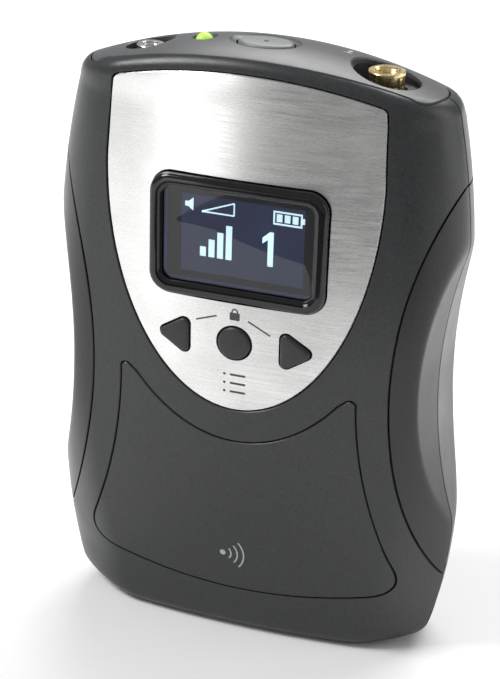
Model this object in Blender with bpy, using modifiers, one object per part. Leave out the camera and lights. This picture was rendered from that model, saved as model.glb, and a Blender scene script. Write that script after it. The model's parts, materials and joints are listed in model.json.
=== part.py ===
"""Wireless bodypack transmitter: a clip-on radio pack with a display, four buttons and two AA cells.

Frame: +X to the right in a front view, -Y the front, +Z up, with the origin at the centre of the
flat foot. The sizes below are in millimetres, and MM turns them into Blender's metres. They are
drawn about the plane y = 0 where the front and back shells part, and every finished part is then
moved by FOOT_CENTRE to put the foot at the origin.
"""

import math

import bmesh
import bpy
from mathutils import Matrix, Vector

MM = 0.001
OBJECT_NAME = "bodypack_transmitter"

# Outer form of the case
TOP_PEAK = 90.4
TOP_FALL_X = 0.0076
TOP_FALL_Y = 0.02
TOP_CREST_Y = -1.8
TOP_SLICE_DROP = 6.0
FOOT_CENTRE = (0.0, 2.8, -0.8)
BOTTOM_FLAT = 14.5
BOTTOM_RISE = 0.012
FOOT_SLICE_Z = 2.0
WIDEST = 31.0
WIDEST_Z = 40.2
UPPER_TAPER = 4.2e-5
LOWER_TAPER = 1.6e-6
UPPER_DRAW = 0.0005
LOWER_DRAW = 0.039
LOWER_DRAW_POWER = 1.25
FRONT_DEPTH = 11.0
BACK_DEPTH = 11.7
CROWN_X = 0.0035
CROWN_Z = 0.0018
CROWN_CENTRE_Z = 54.2
SIDE_ROUND = 7.7
TOP_ROUND = 1.4
BOTTOM_ROUND = 1.8
LEAST_ROUND = 0.3
FLAT_STEPS = 4
BODY_LEVELS = (8, 16, 26, 37, 48, 58, 66.5, 74, 81.5)

# Waist and the arcs that run parallel to it, all about one centre
WAIST_CENTRE_X = 96.2
WAIST_CENTRE_Z = 43.2
WAIST_RADIUS = 69.0
WAIST_FRONT_DRAFT = 2.6
WAIST_BACK_DRAFT = 0.6
WAIST_REACH = 20.0
GRIP_CENTRE_X = 90.4
GRIP_RADIUS = 68.0
LABEL_SIDE_RADIUS = 72.6

# Walls, inlays and gaps
WALL = 1.7
INLAY = 0.7
POCKET = 1.0
GAP = 0.3
HALF_GAP = GAP / 2
SHARP_ANGLE = 35
WELD = 0.0002
FAR = 60
FAR_FRONT = -20
FAR_UP = 120

# Face plate, label panel and display
PLATE_HALF_WIDTH = 20.3
PLATE_TOP_HALF_WIDTH = 19.8
PLATE_TOP_Z = 87.7
PLATE_TOP_FALL = 0.0069
PLATE_ARC_Z = 74.0
PLATE_ARC_DROP = 35.8
LABEL_GROW_X = 5.0
LABEL_ARC_DROP = 41.0
LABEL_BASE_Z = 6.6
LABEL_BASE_RISE = 0.006
LABEL_HALF_WIDTH = 25.0
LABEL_CORNER = 4.5
LABEL_TIP_Z = 41.0
PLATE_CUT_Y = -4.0
LABEL_CUT_Y = -3.0
DISPLAY_Z = 64.0
BEZEL_SIZE = (26.0, 17.8)
BEZEL_CORNER = 3.0
BEZEL_OPENING = (22.3, 14.1)
BEZEL_OPENING_CORNER = 1.5
BEZEL_FRONT_Y = -11.5
BEZEL_BACK_Y = -9.5
MODULE_Y = (-9.2, -7.3)

# Front buttons
BUTTON_Z = 48.9
ROUND_BUTTON_RADIUS = 2.45
ARROW_EDGE_X = 6.85
ARROW_TIP_X = 11.2
ARROW_HALF_HEIGHT = 2.55
BUTTON_FRONT_Y = -11.35
BUTTON_BACK_Y = -9.0
BUTTON_CUT_Y = -8.0
MAT_Y = (-8.35, -7.95)
SWITCH_Y = (-7.7, -7.2)

# Top cap and what stands in it
CAP_TIP_X = 25.7
CAP_HALF_DEPTH = 8.4
CAP_FALL = 0.0052
CAP_END_ROUND = 3.6
CAP_HOLE_Z = 82.2
CAP_FOOT_Z = 82.6
TOP_LINE_Y = -1.0
JACK_FLOOR_Z = 85.4
MIC_X = 17.3
MIC_POCKET_RADIUS = 4.8
MIC_RING_Z = 88.3
MIC_RING_RADIUS = 2.57
LINE_X = -17.0
LINE_POCKET_RADIUS = 3.6
LINE_RING_Z = 87.7
LINE_RING_RADIUS = 2.0
LED_X = -9.0
LED_RADIUS = 1.25
LED_TOP_Z = 90.3
POWER_SIZE = (4.0, 2.6)
POWER_Z = (87.0, 90.2)

# Back: battery bay, door, hinge and latch
BOARD_Y = (-6.9, -6.1)
BAY_HALF_WIDTH = 17.2
BAY_Z = (11.2, 71.4)
BAY_FRONT_Y = -5.8
BAY_WALL = 1.2
BAY_LIMIT = 2.1
CELL_X = 7.9
CELL_Y = 2.3
CELL_RADIUS = 7.25
CELL_LENGTH = 50.5
DOOR_Z = (13.35, 73.05)
HINGE_Y = 10.7
HINGE_Z = 14.4
HINGE_ROLL = 1.0
LUG_RADIUS = 0.95
HINGE_HALF = 22.3
PIN_RADIUS = 0.35
PIN_CLEAR = 0.2
LATCH_Z = (66.2, 73.0)
LATCH_HALF_WIDTH = 5.0
LATCH_TRAVEL = 2.0
SCREW_PLACES = ((24.0, 77.0), (20.0, 7.5))
FRONT_BOSS_RADIUS = 2.0
BACK_BOSS_RADIUS = 2.4
PILOT_RADIUS = 1.1
SCREW_HOLE_RADIUS = 1.4
SCREW_SEAT_RADIUS = 2.0

# Belt clip
CLIP_PIN = (15.3, 57.0)
CLIP_HALF_WIDTH = 9.0
CLIP_Y = (17.2, 18.6)
BRACKET_Z = (49.0, 64.0)
BELT_PAD_LOW = (-7.5, 16.9, 35.0)
BELT_PAD_HIGH = (7.5, 17.6, 48.5)

MATERIALS = {
    "shell_black": ((0.028, 0.029, 0.031), 0.42, 0.0),
    "grip_black": ((0.024, 0.025, 0.027), 0.5, 0.0),
    "cap_grey": ((0.075, 0.076, 0.078), 0.32, 0.0),
    "brushed_steel": ((0.62, 0.63, 0.64), 0.3, 1.0),
    "gloss_black": ((0.008, 0.008, 0.009), 0.08, 0.0),
    "lens_smoke": ((0.03, 0.035, 0.05), 0.03, 0.0),
    "display_blue": ((0.035, 0.05, 0.12), 0.2, 0.0),
    "button_black": ((0.03, 0.031, 0.033), 0.45, 0.0),
    "power_grey": ((0.42, 0.43, 0.42), 0.35, 0.0),
    "led_green": ((0.35, 0.75, 0.08), 0.15, 0.0),
    "gold": ((0.83, 0.62, 0.26), 0.18, 1.0),
    "nickel": ((0.66, 0.65, 0.62), 0.22, 1.0),
    "board_green": ((0.02, 0.13, 0.06), 0.45, 0.0),
    "silicone": ((0.16, 0.16, 0.17), 0.7, 0.0),
    "part_black": ((0.02, 0.02, 0.022), 0.55, 0.0),
    "cell_wrap": ((0.5, 0.36, 0.08), 0.3, 0.6),
    "spring_steel": ((0.55, 0.55, 0.56), 0.25, 1.0),
    "screw_black": ((0.05, 0.05, 0.055), 0.35, 1.0),
    "coated_steel": ((0.022, 0.022, 0.024), 0.4, 0.0),
}


# ---------------------------------------------------------------- scene helpers

def clear_scene():
    for thing in list(bpy.data.objects):
        bpy.data.objects.remove(thing, do_unlink=True)


def new_collection(name):
    collection = bpy.data.collections.new(name)
    bpy.context.scene.collection.children.link(collection)
    return collection


def make_material(name):
    colour, roughness, metallic = MATERIALS[name]
    material = bpy.data.materials.new(name)
    material.use_nodes = True
    shader = material.node_tree.nodes["Principled BSDF"]
    shader.inputs["Base Color"].default_value = (*colour, 1.0)
    shader.inputs["Roughness"].default_value = roughness
    shader.inputs["Metallic"].default_value = metallic
    return material


def evaluated_mesh(thing):
    bpy.context.view_layer.update()
    graph = bpy.context.evaluated_depsgraph_get()
    return bpy.data.meshes.new_from_object(thing.evaluated_get(graph))


def add_shape(name, mesh):
    """Every new solid starts as a cutter; finish_part makes it a part of the object."""
    shape = bpy.data.objects.new(name, mesh)
    shape.hide_render = True
    shape.display_type = "WIRE"
    CUTTERS.objects.link(shape)
    return shape


def finish_part(shape, name, material, pivot=(0, 0, 0)):
    """Name the node, give it its material and put its origin at the pivot."""
    shape.name = name
    shape.hide_render = False
    shape.display_type = "TEXTURED"
    CUTTERS.objects.unlink(shape)
    PARTS.objects.link(shape)
    pivot_m = Vector(pivot) * MM
    shape.data.transform(Matrix.Translation(-pivot_m))
    shape.location = pivot_m - Vector(FOOT_CENTRE) * MM
    shape.data.materials.clear()
    shape.data.materials.append(FINISHES[material])
    shape.data.shade_smooth()
    shape.data.set_sharp_from_angle(angle=math.radians(SHARP_ANGLE))
    return shape


def copy_shape(shape, name):
    return add_shape(name, shape.data.copy())


def weld(mesh):
    """Merge the nearly equal points that a Boolean leaves where two edges almost meet."""
    bm = bmesh.new()
    bm.from_mesh(mesh)
    bmesh.ops.remove_doubles(bm, verts=bm.verts, dist=WELD * MM)
    bm.to_mesh(mesh)
    bm.free()


def boolean(shape, other, operation):
    modifier = shape.modifiers.new("boolean", "BOOLEAN")
    modifier.operation = operation
    modifier.solver = "EXACT"
    modifier.object = other
    mesh = evaluated_mesh(shape)
    weld(mesh)
    shape.modifiers.clear()
    shape.data = mesh
    return shape


def cut(shape, *others):
    for other in others:
        boolean(shape, other, "DIFFERENCE")
    return shape


def keep(shape, other):
    return boolean(shape, other, "INTERSECT")


def join(shape, *others):
    for other in others:
        boolean(shape, other, "UNION")
    return shape


def bevel(shape, width, segments=2, angle=40):
    modifier = shape.modifiers.new("bevel", "BEVEL")
    modifier.width = width * MM
    modifier.segments = segments
    modifier.limit_method = "ANGLE"
    modifier.angle_limit = math.radians(angle)
    mesh = evaluated_mesh(shape)
    shape.modifiers.clear()
    shape.data = mesh
    return shape


def mirrored(shape, name):
    """A copy on the other side of the x = 0 plane."""
    mesh = shape.data.copy()
    mesh.transform(Matrix.Scale(-1, 4, Vector((1, 0, 0))))
    mesh.flip_normals()
    return add_shape(name, mesh)


# ---------------------------------------------------------------- solid helpers

def mesh_from_bmesh(name, bm):
    mesh = bpy.data.meshes.new(name)
    bm.to_mesh(mesh)
    bm.free()
    return mesh


def box(name, low, high):
    size = [(h - l) * MM for l, h in zip(low, high)]
    middle = Vector([(h + l) / 2 * MM for l, h in zip(low, high)])
    bm = bmesh.new()
    bmesh.ops.create_cube(bm, size=1.0)
    bmesh.ops.scale(bm, vec=size, verts=bm.verts)
    bmesh.ops.translate(bm, vec=middle, verts=bm.verts)
    return add_shape(name, mesh_from_bmesh(name, bm))


def cylinder(name, radius, start, end, segments=32):
    """A cylinder between two points."""
    base = Vector(start) * MM
    axis = Vector(end) * MM - base
    bm = bmesh.new()
    bmesh.ops.create_cone(
        bm, cap_ends=True, segments=segments, radius1=radius * MM, radius2=radius * MM, depth=axis.length)
    turn = Vector((0, 0, 1)).rotation_difference(axis).to_matrix().to_4x4()
    bm.transform(Matrix.Translation(base + axis / 2) @ turn)
    return add_shape(name, mesh_from_bmesh(name, bm))


def ellipsoid(name, centre, radii, segments=32, rings=16):
    bm = bmesh.new()
    bmesh.ops.create_uvsphere(bm, u_segments=segments, v_segments=rings, radius=MM)
    bmesh.ops.scale(bm, vec=radii, verts=bm.verts)
    bmesh.ops.translate(bm, vec=Vector(centre) * MM, verts=bm.verts)
    return add_shape(name, mesh_from_bmesh(name, bm))


def prism(name, outline, low, high, axis="Y"):
    """A flat outline made solid between two levels along Y or Z."""
    curve = bpy.data.curves.new(name, "CURVE")
    curve.dimensions = "2D"
    curve.fill_mode = "BOTH"
    curve.extrude = (high - low) / 2 * MM
    spline = curve.splines.new("POLY")
    spline.points.add(len(outline) - 1)
    for point, (across, up) in zip(spline.points, outline):
        point.co = (across * MM, up * MM, 0, 1)
    spline.use_cyclic_u = True
    guide = bpy.data.objects.new(name, curve)
    CUTTERS.objects.link(guide)
    mesh = evaluated_mesh(guide)
    bpy.data.objects.remove(guide, do_unlink=True)
    bm = bmesh.new()
    bm.from_mesh(mesh)
    bmesh.ops.remove_doubles(bm, verts=bm.verts, dist=0.001 * MM)
    middle = (low + high) / 2 * MM
    if axis == "Y":
        bm.transform(Matrix.Translation((0, middle, 0)) @ Matrix.Rotation(math.pi / 2, 4, "X"))
    else:
        bm.transform(Matrix.Translation((0, 0, middle)))
    bmesh.ops.recalc_face_normals(bm, faces=bm.faces)
    return add_shape(name, mesh_from_bmesh(name, bm))


def turned(name, profile, centre, axis="Z", steps=32):
    """A Screw of a profile of (radius, height) pairs that runs from top to bottom."""
    mesh = bpy.data.meshes.new(name)
    points = [(radius * MM, 0, height * MM) for radius, height in profile]
    mesh.from_pydata(points, [(i, i + 1) for i in range(len(points) - 1)], [])
    guide = bpy.data.objects.new(name, mesh)
    CUTTERS.objects.link(guide)
    screw = guide.modifiers.new("screw", "SCREW")
    screw.steps = steps
    screw.render_steps = steps
    screw.use_merge_vertices = True
    screw.merge_threshold = 0.00001
    screw.use_normal_calculate = False
    solid = evaluated_mesh(guide)
    bpy.data.objects.remove(guide, do_unlink=True)
    bm = bmesh.new()
    bm.from_mesh(solid)
    bmesh.ops.recalc_face_normals(bm, faces=bm.faces)
    if axis == "Y":
        bm.transform(Matrix.Rotation(-math.pi / 2, 4, "X"))
    bm.transform(Matrix.Translation(Vector(centre) * MM))
    return add_shape(name, mesh_from_bmesh(name, bm))


def tube(name, points, radius):
    curve = bpy.data.curves.new(name, "CURVE")
    curve.dimensions = "3D"
    curve.bevel_depth = radius * MM
    curve.bevel_resolution = 1
    curve.use_fill_caps = True
    spline = curve.splines.new("POLY")
    spline.points.add(len(points) - 1)
    for point, place in zip(spline.points, points):
        point.co = (*(Vector(place) * MM), 1)
    guide = bpy.data.objects.new(name, curve)
    CUTTERS.objects.link(guide)
    mesh = evaluated_mesh(guide)
    bpy.data.objects.remove(guide, do_unlink=True)
    bm = bmesh.new()
    bm.from_mesh(mesh)
    bmesh.ops.remove_doubles(bm, verts=bm.verts, dist=0.001 * MM)
    bmesh.ops.recalc_face_normals(bm, faces=bm.faces)
    return add_shape(name, mesh_from_bmesh(name, bm))


# ---------------------------------------------------------------- outlines

def arc(centre, radii, start, end, steps):
    """Points on an ellipse from one angle to another, in degrees."""
    points = []
    for step in range(steps + 1):
        angle = math.radians(start + (end - start) * step / steps)
        points.append((centre[0] + radii[0] * math.cos(angle), centre[1] + radii[1] * math.sin(angle)))
    return points


def both_sides(half):
    """Close a half outline that runs at x > 0 from the bottom of the plane x = 0 to its top."""
    left = [(-x, z) for x, z in reversed(half) if x > 0.001]
    return half + left


def rounded_rectangle(width, height, corner, centre=(0, 0), steps=4):
    outline = []
    for turn, (side, rise) in enumerate(((1, 1), (-1, 1), (-1, -1), (1, -1))):
        middle = (centre[0] + side * (width / 2 - corner), centre[1] + rise * (height / 2 - corner))
        outline += arc(middle, (corner, corner), turn * 90, turn * 90 + 90, steps)
    return outline


def plate_outline(grow):
    """The shield: a half ellipse below, nearly straight sides and a shallow arc above."""
    lower = arc((0, PLATE_ARC_Z), (PLATE_HALF_WIDTH + grow, PLATE_ARC_DROP + grow), -90, 0, 12)
    corner = PLATE_TOP_HALF_WIDTH + grow
    upper = []
    for step in range(5):
        x = corner * (1 - step / 4)
        upper.append((x, PLATE_TOP_Z + grow - PLATE_TOP_FALL * x * x))
    return both_sides(lower + upper)


def turn_corner(before, corner, after, steps):
    """A smooth curve from one point to another that rounds off the corner between them."""
    points = []
    for step in range(steps + 1):
        share = step / steps
        weights = ((1 - share) ** 2, 2 * share * (1 - share), share ** 2)
        across = sum(weight * point[0] for weight, point in zip(weights, (before, corner, after)))
        up = sum(weight * point[1] for weight, point in zip(weights, (before, corner, after)))
        points.append((across, up))
    return points


def label_base(x, grow):
    return (x, LABEL_BASE_Z - grow + LABEL_BASE_RISE * x * x)


def label_flank(z, grow):
    rise = z - WAIST_CENTRE_Z
    return (GRIP_CENTRE_X - math.sqrt((LABEL_SIDE_RADIUS - grow) ** 2 - rise ** 2), z)


def label_outline(grow):
    """The lower panel: its top follows the shield, its sides follow the waist."""
    corner = label_base(LABEL_HALF_WIDTH, grow)
    for _ in range(8):
        corner = label_base(label_flank(corner[1], grow)[0], grow)
    base_end = corner[0] - LABEL_CORNER
    flank_low = corner[1] + LABEL_CORNER
    half = [label_base(base_end * step / 5, grow) for step in range(5)]
    half += turn_corner(label_base(base_end, grow), corner, label_flank(flank_low, grow), 4)
    half += [label_flank(flank_low + (LABEL_TIP_Z - flank_low) * step / 6, grow) for step in range(1, 7)]
    half += arc((17.0, LABEL_TIP_Z + 0.5), (0.9 + grow, 0.9 + grow), 15, 130, 3)
    for step in range(1, 7):
        x = 15.9 * (1 - step / 6)
        drop = (LABEL_ARC_DROP - grow) * math.sqrt(1 - (x / (PLATE_HALF_WIDTH + LABEL_GROW_X)) ** 2)
        half.append((x, PLATE_ARC_Z - drop))
    return both_sides(half)


def cap_outline(grow):
    """The top insert in plan: two shallow arcs that meet in rounded tips."""
    quarter = []
    tip = CAP_TIP_X + grow
    for step in range(6):
        x = (tip - CAP_END_ROUND) * step / 5
        quarter.append((x, CAP_HALF_DEPTH + grow - CAP_FALL * x * x))
    end_depth = quarter[-1][1]
    quarter += arc((tip - CAP_END_ROUND, 0), (CAP_END_ROUND, end_depth), 72, 0, 4)
    right = quarter + [(x, -y) for x, y in reversed(quarter) if y > 0.001]
    left = [(-x, y) for x, y in reversed(right) if x > 0.001]
    return right + left


def arrow_outline(grow):
    """A right-pointing triangle with rounded corners."""
    corner = 0.8
    centres = (
        (ARROW_EDGE_X + corner, BUTTON_Z + ARROW_HALF_HEIGHT - corner, 90, 180),
        (ARROW_EDGE_X + corner, BUTTON_Z - ARROW_HALF_HEIGHT + corner, 180, 270),
        (ARROW_TIP_X - corner, BUTTON_Z, -55, 55),
    )
    outline = []
    for x, z, start, end in centres:
        outline += arc((x, z), (corner + grow, corner + grow), start, end, 3)
    return outline


# ---------------------------------------------------------------- case form

def half_width(z):
    if z > WIDEST_Z:
        return WIDEST - UPPER_TAPER * (z - WIDEST_Z) ** 3
    return WIDEST - LOWER_TAPER * (WIDEST_Z - z) ** 4


def front_depth(x, z):
    return FRONT_DEPTH - CROWN_X * x * x - CROWN_Z * (z - CROWN_CENTRE_Z) ** 2


def top_height(x, y):
    return TOP_PEAK - TOP_FALL_X * x * x - TOP_FALL_Y * (y - TOP_CREST_Y) ** 2


def bottom_height(x):
    return FOOT_CENTRE[2] + BOTTOM_RISE * max(0.0, abs(x) - BOTTOM_FLAT) ** 2


def front_draw(z):
    """The share of its width by which the front face is narrower than the parting plane."""
    if z > WIDEST_Z:
        return UPPER_DRAW * (z - WIDEST_Z) ** 2 / half_width(z)
    return LOWER_DRAW * (WIDEST_Z - z) ** LOWER_DRAW_POWER / half_width(z)


def section(level, shrink):
    """One closed slice of the case: (x, y) from the right side round the front to the back."""
    flat = half_width(level) - SIDE_ROUND
    round_off = SIDE_ROUND - shrink
    quarter = []
    for angle in range(0, 91, 18):
        share = math.sin(math.radians(angle))
        quarter.append((flat + round_off * math.cos(math.radians(angle)), share))
    quarter += [(flat * (1 - step / FLAT_STEPS), 1.0) for step in range(1, FLAT_STEPS + 1)]
    front = []
    for x, share in quarter:
        across = x * (1 - front_draw(level) * share)
        front.append((across, -(front_depth(across, level) - shrink) * share))
    back = [(x, (BACK_DEPTH - shrink) * share) for x, share in quarter]
    front += [(-x, y) for x, y in reversed(front[:-1])]
    back += [(-x, y) for x, y in reversed(back[:-1])]
    return front + list(reversed(back[1:-1]))


def form_rings(inset):
    """The rings of the case form from foot to top, each a list of points."""
    rings = []
    foot_round = max(BOTTOM_ROUND - inset, LEAST_ROUND)
    for angle in (0, 30, 60, 90):
        shrink = inset + foot_round * (1 - math.sin(math.radians(angle)))
        rise = inset + foot_round * (1 - math.cos(math.radians(angle)))
        rings.append([(x, y, bottom_height(x) + rise) for x, y in section(FOOT_SLICE_Z + rise, shrink)])
    for level in BODY_LEVELS:
        rings.append([(x, y, level) for x, y in section(level, inset)])
    top_round = max(TOP_ROUND - inset, LEAST_ROUND)
    for angle in (90, 45, 0):
        shrink = inset + top_round * (1 - math.sin(math.radians(angle)))
        drop = inset + top_round * (1 - math.cos(math.radians(angle)))
        level = TOP_PEAK - TOP_SLICE_DROP - drop
        rings.append([(x, y, top_height(x, y) - drop) for x, y in section(level, shrink)])
    return rings


def close_ring(bm, ring, height, columns):
    """Fill a ring with a grid whose inner points follow the given height."""
    count = len(ring)
    half = count // 2
    rows = [[ring[0]] * (columns + 1)]
    for index in range(1, half):
        front = ring[index].co
        back = ring[count - index].co
        row = [ring[index]]
        for column in range(1, columns):
            place = front.lerp(back, column / columns)
            place.z = height(place.x / MM, place.y / MM) * MM
            row.append(bm.verts.new(place))
        rows.append(row + [ring[count - index]])
    rows.append([ring[half]] * (columns + 1))
    for row, after in zip(rows, rows[1:]):
        for column in range(columns):
            corners = [row[column], row[column + 1], after[column + 1], after[column]]
            bm.faces.new(list(dict.fromkeys(corners)))


def loft_form(name, inset):
    bm = bmesh.new()
    rings = [[bm.verts.new(Vector(point) * MM) for point in ring] for ring in form_rings(inset)]
    for lower, upper in zip(rings, rings[1:]):
        for index in range(len(lower)):
            after = (index + 1) % len(lower)
            bm.faces.new((lower[index], lower[after], upper[after], upper[index]))
    close_ring(bm, rings[0], lambda x, y: bottom_height(x) + inset, 1)
    close_ring(bm, rings[-1], lambda x, y: top_height(x, y) - inset, 3)
    bmesh.ops.triangulate(bm, faces=bm.faces)
    bmesh.ops.recalc_face_normals(bm, faces=bm.faces)
    return add_shape(name, mesh_from_bmesh(name, bm))


def waist_cutter(inset):
    """A wide drum beside the case whose drafted wall shapes the waist."""
    radius = WAIST_RADIUS + inset
    profile = (
        (0, WAIST_REACH), (radius + WAIST_BACK_DRAFT, WAIST_REACH), (radius, 0),
        (radius + WAIST_FRONT_DRAFT, -WAIST_REACH), (0, -WAIST_REACH),
    )
    centre = (WAIST_CENTRE_X, 0, WAIST_CENTRE_Z)
    return turned("waist_cutter", profile, centre, axis="Y", steps=96)


def case_form(inset):
    """The closed form of the case, drawn in by an inset."""
    form = loft_form("form", inset)
    waist = waist_cutter(inset)
    return cut(form, waist, mirrored(waist, "waist_cutter_left"))


# ---------------------------------------------------------------- case parts

def grip_cutter(grow):
    radius = GRIP_RADIUS + grow
    start = (GRIP_CENTRE_X, -WAIST_REACH, WAIST_CENTRE_Z)
    end = (GRIP_CENTRE_X, -HALF_GAP + max(grow, 0) * 4, WAIST_CENTRE_Z)
    return cylinder("grip_cutter", radius, start, end, segments=96)


def pocket_for(cutter, forms):
    """What an inlay's cutter takes from the shell: only the skin above the pocket floor."""
    return cut(cutter, forms[POCKET])


def make_inlay(name, cutter, forms, material):
    inlay = cut(keep(copy_shape(forms[0], name), cutter), forms[INLAY])
    return finish_part(inlay, name, material)


def window_cutter(grow):
    outline = rounded_rectangle(
        BEZEL_SIZE[0] + 2 * grow, BEZEL_SIZE[1] + 2 * grow, BEZEL_CORNER + grow, (0, DISPLAY_Z))
    return prism("window_cutter", outline, FAR_FRONT, MODULE_Y[1])


def button_cutters(grow):
    arrow = prism("arrow_cutter", arrow_outline(grow), FAR_FRONT, BUTTON_CUT_Y)
    start = (0, FAR_FRONT, BUTTON_Z)
    hole = cylinder("round_cutter", ROUND_BUTTON_RADIUS + grow, start, (0, BUTTON_CUT_Y, BUTTON_Z), 24)
    return [arrow, mirrored(arrow, "arrow_cutter_left"), hole]


def front_openings():
    return [window_cutter(GAP)] + button_cutters(GAP)


def make_front_shell(forms):
    shell = cut(copy_shape(forms[0], "front_shell"), forms[WALL])
    cut(shell, box("rear_half", (-FAR, -HALF_GAP, -FAR), (FAR, FAR, FAR_UP)))
    for x, z in SCREW_PLACES:
        for side in (-1, 1):
            boss = cylinder("boss", FRONT_BOSS_RADIUS, (side * x, -6.2, z), (side * x, -0.6, z), 12)
            join(shell, keep(boss, forms[INLAY]))
            cut(shell, cylinder("pilot", PILOT_RADIUS, (side * x, -5.0, z), (side * x, 1, z), 10))
    grip = grip_cutter(HALF_GAP)
    plate = prism("plate_cutter", plate_outline(HALF_GAP), FAR_FRONT, PLATE_CUT_Y)
    label = prism("label_cutter", label_outline(HALF_GAP), FAR_FRONT, LABEL_CUT_Y)
    for cutter in (grip, mirrored(grip, "grip_cutter_left"), plate, label):
        cut(shell, pocket_for(cutter, forms))
    cut(shell, prism("cap_cutter", cap_outline(HALF_GAP), CAP_HOLE_Z, FAR_UP, axis="Z"))
    cut(shell, *front_openings())
    return finish_part(shell, "front_shell", "shell_black")


def make_grips(forms):
    grip = grip_cutter(-HALF_GAP)
    make_inlay("right_grip", grip, forms, "grip_black")
    make_inlay("left_grip", mirrored(grip, "grip_cutter_left"), forms, "grip_black")


def make_face_plate(forms):
    plate = prism("plate_cutter", plate_outline(-HALF_GAP), FAR_FRONT, PLATE_CUT_Y)
    cut(plate, *front_openings())
    make_inlay("face_plate", plate, forms, "brushed_steel")


def make_label_panel(forms):
    label = prism("label_cutter", label_outline(-HALF_GAP), FAR_FRONT, LABEL_CUT_Y)
    make_inlay("label_panel", label, forms, "shell_black")


def rear_skin(forms, name):
    skin = cut(copy_shape(forms[0], name), forms[WALL])
    return cut(skin, box("front_half", (-FAR, -FAR, -FAR), (FAR, HALF_GAP, FAR_UP)))


def battery_bay(forms):
    """The open-backed box that holds the cells, with the blocks that tie it to the skin.

    The case trims its lower front corners, which leaves a wire way at each.
    """
    outer = box("bay", (-BAY_HALF_WIDTH, BAY_FRONT_Y, BAY_Z[0]), (BAY_HALF_WIDTH, 9.7, BAY_Z[1]))
    inside = BAY_HALF_WIDTH - BAY_WALL
    cut(outer, box("bay_space", (-inside, BAY_FRONT_Y + 0.6, BAY_Z[0] + BAY_WALL),
                   (inside, 20, BAY_Z[1] - BAY_WALL)))
    keep(outer, forms[BAY_LIMIT])
    ledge = box("ledge", (-18, 8.3, BAY_Z[1] - 1.0), (18, 9.7, 78))
    upper_tie = box("upper_tie", (-18, 9.4, 74.0), (18, 10.9, 77.0))
    lower_tie = box("lower_tie", (-18, 8.9, 9.0), (18, 10.9, 12.1))
    return join(outer, ledge, upper_tie, lower_tie)


def hinge_rod(name, radius, low, high, segments):
    """A round bar along the line that the door turns on."""
    return cylinder(name, radius, (low, HINGE_Y, HINGE_Z), (high, HINGE_Y, HINGE_Z), segments)


def hinge_lug(side):
    """An ear that holds one end of the door's pin and stands on the case below the door."""
    low, high = sorted((side * (HINGE_HALF + 0.35), side * (HINGE_HALF + 2.0)))
    ear = hinge_rod("lug", LUG_RADIUS, low, high, 14)
    foot_low = (low + 0.1, HINGE_Y - 0.85, 10.5)
    foot_high = (high - 0.1, HINGE_Y + 0.7, HINGE_Z - 0.1)
    return join(ear, box("lug_foot", foot_low, foot_high))


def make_back_shell(forms):
    shell = rear_skin(forms, "back_shell")
    cut(shell, box("door_space", (-FAR, -FAR, DOOR_Z[0] - GAP), (FAR, FAR, DOOR_Z[1] + GAP)))
    join(shell, battery_bay(forms))
    for x, z in SCREW_PLACES:
        for side in (-1, 1):
            boss = cylinder("boss", BACK_BOSS_RADIUS, (side * x, HALF_GAP, z), (side * x, 11.4, z), 16)
            join(shell, keep(boss, forms[INLAY]))
            cut(shell, cylinder("screw_hole", SCREW_HOLE_RADIUS, (side * x, -1, z), (side * x, 20, z), 10))
            cut(shell, cylinder("screw_seat", SCREW_SEAT_RADIUS, (side * x, 8.8, z), (side * x, 20, z), 14))
    cut(shell, hinge_rod("trough", HINGE_ROLL + GAP, -27, 27, 20))
    join(shell, hinge_lug(1), hinge_lug(-1))
    reach = HINGE_HALF + 3
    cut(shell, hinge_rod("pin_hole", PIN_RADIUS + PIN_CLEAR, -reach, reach, 10))
    cut(shell, prism("cap_cutter", cap_outline(HALF_GAP), CAP_HOLE_Z, FAR_UP, axis="Z"))
    return finish_part(shell, "back_shell", "shell_black")


def make_battery_door(forms):
    door = rear_skin(forms, "battery_door")
    keep(door, box("door_block", (-FAR, -FAR, DOOR_Z[0]), (FAR, FAR, DOOR_Z[1])))
    edge = HINGE_HALF + 2.4
    cut(door, box("hinge_edge", (-27, 8.2, 0), (27, 20, HINGE_Z)))
    cut(door, hinge_rod("lug_room", LUG_RADIUS + 2 * GAP, -edge, edge, 16))
    roll = hinge_rod("roll", HINGE_ROLL, -HINGE_HALF, HINGE_HALF, 16)
    web = box("web", (-HINGE_HALF, 10.3, HINGE_Z), (HINGE_HALF, BACK_DEPTH, HINGE_Z + 2.2))
    join(door, join(roll, web))
    cut(door, hinge_rod("pin_hole", PIN_RADIUS + PIN_CLEAR, -30, 30, 10))
    slot_side = LATCH_HALF_WIDTH + GAP
    cut(door, box("latch_slot", (-slot_side, 9, LATCH_Z[0] - LATCH_TRAVEL - GAP), (slot_side, 20, 80)))
    return finish_part(door, "battery_door", "shell_black", pivot=(0, HINGE_Y, HINGE_Z))


def make_door_hinge_pin():
    reach = HINGE_HALF + 1.9
    pin = hinge_rod("door_hinge_pin", PIN_RADIUS, -reach, reach, 12)
    return finish_part(pin, "door_hinge_pin", "spring_steel", pivot=(0, HINGE_Y, HINGE_Z))


def make_door_latch():
    side = LATCH_HALF_WIDTH
    latch = box("door_latch", (-side, 10.2, LATCH_Z[0]), (side, BACK_DEPTH, LATCH_Z[1]))
    for step in range(4):
        low = LATCH_Z[0] + 1.0 + 1.3 * step
        join(latch, box("ridge", (-side + 1, 11.0, low), (side - 1, BACK_DEPTH + 0.45, low + 0.6)))
    return finish_part(latch, "door_latch", "button_black", pivot=(0, HINGE_Y, LATCH_Z[0]))


def top_rod(name, radius, x, low, high, segments):
    """An upright round bar on the line through the sockets and the power button."""
    return cylinder(name, radius, (x, TOP_LINE_Y, low), (x, TOP_LINE_Y, high), segments)


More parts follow.
